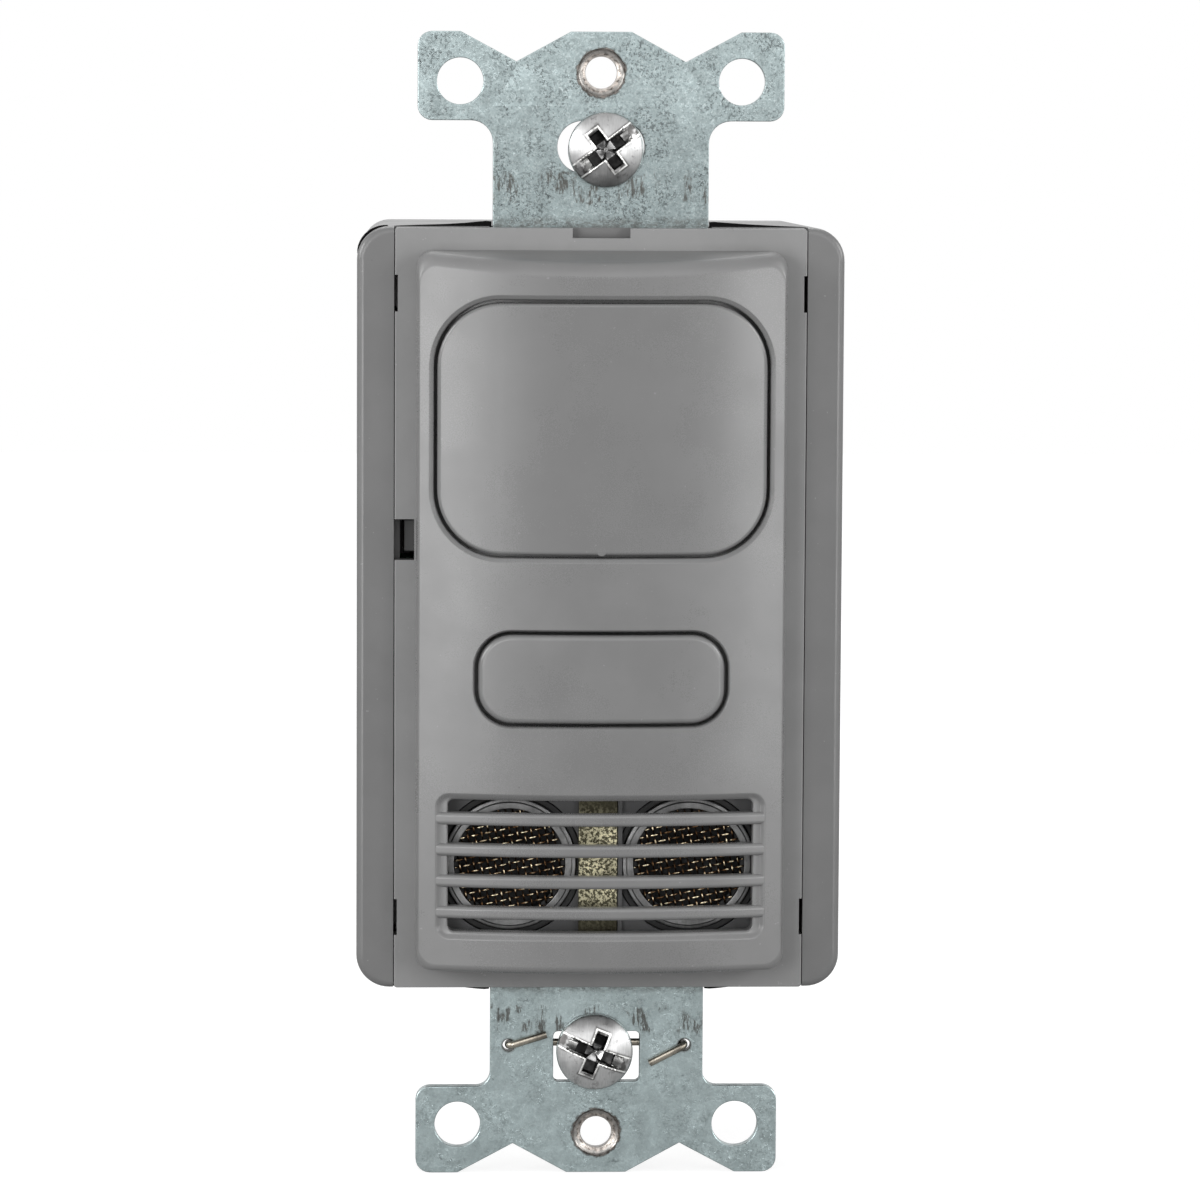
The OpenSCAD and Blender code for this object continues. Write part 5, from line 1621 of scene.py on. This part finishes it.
@dataclass
class FaceInsert:
    """Lens or button that fills an opening of the curved face."""

    name: str
    shape: Point3
    z: float
    edge: float

    def shell(self, back: Sequence[Sequence[Point3]], hollow: Sequence[Sequence[Point3]]) -> Piece:
        """Solid with a rounded front edge that follows the face, and hollow behind.

        Args:
            back: Rings behind the visible part, from back to front.
            hollow: Rings of the hollow.

        Returns:
            The closed solid.
        """
        rings = list(back)
        for t in (math.radians(90 * i / 6) for i in range(7)):
            rings.append(face_ring(grown(self.shape, self.z, -self.edge * (1 - math.cos(t)), 64),
                                   self.edge * (1 - math.sin(t))))
        return carve(loft(self.name, rings), [loft("hollow", hollow)])


@dataclass
class InfraredLens(FaceInsert):
    """Lens window of the infrared detector, flush with the curved face."""

    name: str = "lens_window"
    shape: Point3 = (29.6, 22.5, 5.7)
    z: float = BODY.lens_z
    edge: float = 0.32
    lip: Point3 = (30.3, 25.7, 5.7)
    gate: Point3 = (-0.1, -10.9, 0.42)

    def build(self) -> None:
        """Makes the lens, hollow behind with its hidden lip, and puts it in place of the node."""
        wall = BODY.front_wall + 0.1
        lip = grown(self.lip, self.z, 0, 64)
        back = [face_ring(lip, wall + 1.0), face_ring(lip, wall), face_ring(grown(self.shape, self.z, 0, 64), wall)]
        inner = grown(self.shape, self.z, -1.0)
        piece = self.shell(back, [face_ring(inner, sink) for sink in (4.0, 1.0)])
        (x, z, r), y = self.gate, BODY.face_y(0)
        gate = lathe("gate", [(0.0, y + 0.5), (r, y + 0.5), (r, y + 0.02), (0.3, y), (0.0, y)], x, self.z + z, 32)
        settle(smooth(join(self.name, [piece, gate]), 34), LENS_PLASTIC, "lens_plastic", "infrared_lens")


@dataclass
class PushButton(FaceInsert):
    """Curved push button with its hidden collar and stem."""

    name: str = "button_cap"
    shape: Point3 = (22.2, 8.0, 3.05)
    z: float = BODY.button_z
    edge: float = 0.5
    collar: Point3 = (24.2, 10.0, 3.05)
    stem_r: float = 1.5

    def build(self) -> None:
        """Makes the button and puts it in place of the node."""
        z, half = self.z, self.shape[0] / 2 - 0.6
        front = BODY.face_y(self.collar[0] / 2) + BODY.front_wall + 0.2
        collar, inner = grown(self.collar, z, 0, 64), grown(self.shape, z, -1.2)
        back = [flat_ring(collar, front + 1.0), flat_ring(collar, front),
                flat_ring(grown(self.shape, z, 0, 64), front)]
        piece = self.shell(back, [flat_ring(inner, front + 1.5), flat_ring(inner, front - 0.6)])
        stem = rod("stem", 0.0, z, self.stem_r, front - 1.2, 1.0, 48)
        web = block("web", (-half, front - 1.2, z - 0.5), (half, front + 1.0, z + 0.5))
        settle(smooth(join(self.name, [piece, stem, web]), 34), GREY_PLASTIC, "grey_plastic", "push_button",
               body="manual_button")


@dataclass
class Transducers:
    """Pair of ultrasonic cans with mesh fronts, in rubber boots and a carrier behind the grille."""

    can_r: float = 6.0
    rim_y: float = -5.0
    mouth_r: float = 5.05
    length: float = 10.5
    boot_r: float = 6.62
    boot_len: float = 5.7
    carrier_y: float = -4.4
    carrier_back: float = -0.12
    carrier_x: float = 14.9
    carrier_z: Point2 = (-30.4, -14.8)
    carrier_wall: float = 1.6
    ridge_x: Point2 = (1.7, 2.1)
    bar_x: Point2 = (-1.87, 1.63)
    bar_y: float = -5.02
    bar_t: float = 0.6
    weave_y: float = -4.55
    wire_pitch: float = 0.635
    wire_r: float = 0.09
    weave_turn: float = 12.0

    def can(self, kind: str, x: float) -> None:
        """One can with a rolled rim and the horn inside its mouth.

        Args:
            kind: Start of the names.
            x: Place of its axis.
        """
        r, m, y, back = self.can_r, self.mouth_r, self.rim_y, self.rim_y + self.length
        profile = [(0.0, -2.7), (0.55, -2.72), (2.55, -4.02), (2.72, -4.05), (2.75, -3.95), (0.9, -2.45),
                   (m - 0.4, -2.4), (m - 0.4, -4.36), (m, -4.4), (m, y + 0.1), (m + 0.03, y + 0.03),
                   (m + 0.1, y), (r - 0.42, y), (r - 0.36, y + 0.05), (r - 0.3, y + 0.14), (r - 0.12, y + 0.16),
                   (r - 0.03, y + 0.22), (r, y + 0.34), (r, back - 0.15), (r - 0.15, back), (0.0, back)]
        can = lathe(kind + "_capsule", profile, x, BODY.can_z)
        choose(can, 1, lambda c, n: c.y < -2.0 and math.hypot(c.x - x, c.z - BODY.can_z) < m + 0.01)
        pins = [rod("pin", x + side * 2.5, BODY.can_z, 0.4, 5.48, 10.4, 24) for side in SIDES]
        settle(smooth(join(kind + "_capsule", [can, *pins]), 34), CAN_METAL, "can_metal", kind + "_can",
               more=[CAN_SHADE])

    def boot(self, kind: str, x: float) -> None:
        """Rubber sleeve around a can.

        Args:
            kind: Start of the names.
            x: Place of its axis.
        """
        r, inner, y, back = self.boot_r, self.can_r + 0.02, self.carrier_y, self.carrier_y + self.boot_len
        profile = [(inner, y + 0.12), (inner + 0.12, y), (r - 0.12, y), (r, y + 0.12), (r, back - 0.1),
                   (r - 0.1, back), (inner + 0.1, back), (inner, back - 0.1)]
        settle(smooth(lathe(kind + "_sleeve", profile, x, BODY.can_z), 50), BOOT_RUBBER, "rubber", kind + "_boot")

    def weave(self, kind: str, x: float) -> None:
        """Woven wire disc, made by a geometry tree.

        Args:
            kind: Start of the names.
            x: Place of its middle.
        """
        graph = GeometryGraph(kind + "_weave")
        reach = graph.size("Mouth Radius", self.mouth_r - 0.03)
        pitch = graph.size("Wire Pitch", self.wire_pitch)
        wire = graph.size("Wire Radius", self.wire_r)
        turn = graph.size("Weave Turn", math.radians(-self.weave_turn))
        centre = graph.size("Centre", (x, self.weave_y, BODY.can_z), "NodeSocketVector")
        half = graph.math("FLOOR", reach / pitch)
        count = half * 2.0 + 1.0
        place = graph.add("GeometryNodeInputPosition")
        split = graph.add("ShaderNodeSeparateXYZ", {0: place}).outputs
        phase = graph.math("ADD", split[0], split[2]) / pitch * math.pi
        wave = (graph.math("COSINE", phase) - 0.25) * wire
        distance = graph.value("ShaderNodeVectorMath", {0: place}, "Value", operation="LENGTH")
        outside = graph.value("FunctionNodeCompare", {0: distance, 1: reach}, data_type="FLOAT",
                              operation="GREATER_THAN")
        ring = graph.add("GeometryNodeCurvePrimitiveCircle", {"Resolution": 6, "Radius": wire}, mode="RADIUS")
        families = []
        for along, across, lift in (("x", "z", wave), ("z", "x", wave * -1.0)):
            strand = graph.add("GeometryNodeCurvePrimitiveLine", {"Start": graph.vector(**{along: reach * -1.0}),
                                                                  "End": graph.vector(**{along: reach})})
            fine = graph.add("GeometryNodeResampleCurve", {"Curve": strand, "Count": 97})
            strands = graph.row(fine, count, graph.vector(**{across: half * pitch * -1.0}),
                                graph.vector(**{across: pitch}))
            rows = graph.add("GeometryNodeRealizeInstances", {0: strands})
            inside = graph.add("GeometryNodeDeleteGeometry", {"Geometry": rows, "Selection": outside}, domain="POINT")
            waved = graph.add("GeometryNodeSetPosition", {"Geometry": inside, "Offset": graph.vector(y=lift)})
            families.append(graph.sweep(waved, ring))
        both = graph.add("GeometryNodeJoinGeometry", {0: families[0]})
        graph.put(families[1], both.inputs[0])
        laid = graph.add("GeometryNodeTransform", {"Geometry": both, "Translation": centre,
                                                   "Rotation": graph.vector(y=turn)})
        settle(graph.run(laid, WEAVE_WIRE), WEAVE_WIRE, "mesh_metal", kind + "_mesh")

    def carrier(self) -> None:
        """Carrier plate with a hole for each boot, and the retainer bar between the cans."""
        x, y, back = self.carrier_x, self.carrier_y, self.carrier_back
        (zl, zh), wall = self.carrier_z, self.carrier_wall
        solid = soft_block("carrier_moulding", (-x, y, zl), (x, back, zh), 0.2)
        tools = [block("hollow", (-x + wall, y + 1.5, zl + wall), (x - wall, 1.0, zh - wall))]
        tools += [rod("bore", side * BODY.can_x, BODY.can_z, self.boot_r + 0.05, -8.0, 1.0, 128) for side in SIDES]
        low, high = self.ridge_x
        ridge = soft_block("ridge", (low, y - 0.5, zl + 0.2), (high, y + 0.3, zh - 0.2), 0.06)
        settle(smooth(join("carrier_moulding", [carve(solid, tools), ridge]), 34), CARRIER_PLASTIC, "grey_plastic",
               "transducer_carrier")
        front, t, (left, right) = self.bar_y, self.bar_t, self.bar_x
        parts = [soft_block("bar", (left, front, zl - t - 0.02), (right, front + t, zh + t + 0.02), 0.08)]
        parts += [block("leg", (left + 0.01, front + 0.1, foot), (right - 0.01, back, foot + t))
                  for foot in (zl - t - 0.02, zh + 0.02)]
        settle(smooth(join("retainer_bar", parts), 34), CHROMATE_STEEL, "yellow_zinc_steel", "transducer_retainer")

    def build(self) -> None:
        """Makes both transducers and what holds them."""
        self.carrier()
        for side, kind in zip(SIDES, ("transmitter", "receiver")):
            for make in (self.can, self.boot, self.weave):
                make(kind, side * BODY.can_x)


@dataclass
class PhotocellButton:
    """Small recessed button in the window beside the face."""

    low: Point3 = (-17.72, -1.2, 5.1)
    high: Point3 = (-16.62, 6.4, 7.98)
    edge: float = 0.1

    def build(self) -> None:
        """Makes the button with soft edges and puts it in place of the node."""
        settle(smooth(soft_block("photocell_tip", self.low, self.high, self.edge), 40), BUTTON_PLASTIC,
               "dark_plastic", "photocell_set_button", body="photocell_button")


@dataclass
class InnerParts:
    """Parts inside the body that keep their CAD shape and get a finish."""

    finishes: dict[str, Finish] = field(default_factory=lambda: {
        "button_switch": BLACK_PLASTIC, "button_switch_plunger": BUTTON_PLASTIC,
        "photocell_set_switch": BLACK_PLASTIC, "infrared_detector": DETECTOR_METAL,
        "light_sensor": SENSOR_PLASTIC, "status_lamps": LAMP_PLASTIC, "sensor_board": GREEN_BOARD,
        "power_board": GREEN_BOARD, "board_spacers": NYLON, "board_connector": BLACK_PLASTIC,
        "relay": RELAY_PLASTIC, "electrolytic_capacitor": SLEEVE_PLASTIC, "film_capacitor": FILM_PLASTIC,
        "power_transformer": CORE_STEEL})

    def build(self) -> None:
        """Gives each kept node its material."""
        for name, finish in self.finishes.items():
            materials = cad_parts[name].data.materials
            materials.clear()
            materials.append(finish.material())
            LOG.info("%s: kept, %s", name, finish.name)


# Studio

@dataclass
class Studio:
    """Camera at the photograph's angle, pale floor and plain soft light."""

    azimuth: float = -2.534
    elevation: float = 5.662
    distance: float = 0.52
    shift_right: float = 0.000169
    shift_up: float = 0.000554
    roll: float = -0.302
    half_width: float = 600 / 5704.7
    floor_half: float = 0.9
    floor_z: float = -0.0522
    ambient: float = 0.15
    lamps: tuple[tuple[str, float, float, float, Point2, float], ...] = (
        ("left_box", -30, 1, 0.52, (0.11, 0.19), 0.3),
        ("right_box", 36, 1, 0.36, (0.09, 0.19), 0.3),
        ("front_key", 0, 32, 0.2, (0.3, 0.2), 0.36),
        ("left_side", -75, 20, 0.6, (0.4, 0.3), 0.8),
        ("right_side", 75, 20, 0.52, (0.4, 0.3), 0.8),
        ("top_back", 180, 60, 0.38, (0.6, 0.4), 0.8))

    def direction(self, azimuth: float, elevation: float) -> Vector:
        """Unit vector towards a place around the object, 0 at the front and positive to the right."""
        a, e = math.radians(azimuth), math.radians(elevation)
        return Vector((math.sin(a) * math.cos(e), -math.cos(a) * math.cos(e), math.sin(e)))

    def camera(self) -> None:
        """Puts the camera where the photograph was taken from."""
        a, r = math.radians(self.azimuth), math.radians(self.roll)
        back = self.direction(self.azimuth, self.elevation)
        right = Vector((math.cos(a), math.sin(a), 0.0))
        up = back.cross(right)
        place = self.distance * back + self.shift_right * right + self.shift_up * up
        across = right * math.cos(r) - up * math.sin(r)
        above = right * math.sin(r) + up * math.cos(r)
        data = bpy.data.cameras.new("photo_camera")
        data.angle = 2 * math.atan(self.half_width)
        data.clip_start = 0.01
        camera = put_in_scene("photo_camera", data)
        camera.matrix_world = Matrix.Translation(place) @ Matrix((across, above, back)).transposed().to_4x4()
        bpy.context.scene.camera = camera

    def lamp(self, name: str, azimuth: float, elevation: float, level: float, size: Point2,
             distance: float) -> None:
        """Adds a soft lamp that is aimed at the object.

        Args:
            name: Name of the lamp.
            azimuth: Direction it stands in, 0 at the front and positive to the right.
            elevation: Height of that direction.
            level: Brightness that it gives a white surface turned towards it.
            size: Width and height of the lamp in metres.
            distance: Distance in metres.
        """
        back = self.direction(azimuth, elevation)
        data = bpy.data.lights.new(name, "AREA")
        data.shape = "RECTANGLE"
        data.size, data.size_y = size
        data.energy = math.pi ** 2 * level * distance ** 2
        turn = back.to_track_quat("Z", "Y").to_matrix().to_4x4()
        put_in_scene(name, data).matrix_world = Matrix.Translation(back * distance) @ turn

    def world(self) -> None:
        """White for the camera and reflections, plain level for the light itself."""
        world = bpy.data.worlds.new("studio")
        bpy.context.scene.world = world
        world.use_nodes = True
        world.node_tree.nodes.clear()
        graph = NodeGraph(world.node_tree)
        rays = graph.add("ShaderNodeLightPath").outputs
        seen = graph.math("MAXIMUM", rays["Is Camera Ray"], rays["Is Glossy Ray"])
        seen = graph.math("MAXIMUM", seen, rays["Is Transmission Ray"])
        plain, white = (graph.add("ShaderNodeBackground", {"Color": (1, 1, 1, 1), "Strength": strength})
                        for strength in (self.ambient, 1.0))
        both = graph.add("ShaderNodeMixShader", {0: seen, 1: plain, 2: white})
        graph.add("ShaderNodeOutputWorld", {"Surface": both})

    def floor(self) -> None:
        """Wide pale floor just under the strap."""
        h, z = self.floor_half, self.floor_z
        piece = new_object("studio_floor", [(-h, -h, z), (h, -h, z), (h, h, z), (-h, h, z)], [(0, 1, 2, 3)])
        if piece.data.polygons[0].normal.z < 0:
            piece.data.flip_normals()
        piece.data.materials.append(PaleSurface("white_floor").material())

    def build(self) -> None:
        """Sets up camera, floor, light and the view transform."""
        bpy.context.scene.view_settings.view_transform = "Standard"
        self.camera()
        self.world()
        self.floor()
        for row in self.lamps:
            self.lamp(*row)


def main() -> None:
    """Builds the pieces in order, then the studio."""
    logging.basicConfig(level=logging.INFO, format="%(name)s %(message)s", stream=sys.stdout)
    for part in (MountingStrap(), RearHousing(), FrontCover(), InfraredLens(), PushButton(), Transducers(),
                 PhotocellButton(), BoxScrew("upper", UPPER_HEAD, 3.4), BoxScrew("lower", LOWER_HEAD), RetainerWire(),
                 InnerParts(), Studio()):
        part.build()


if __name__ == "__main__":
    main()
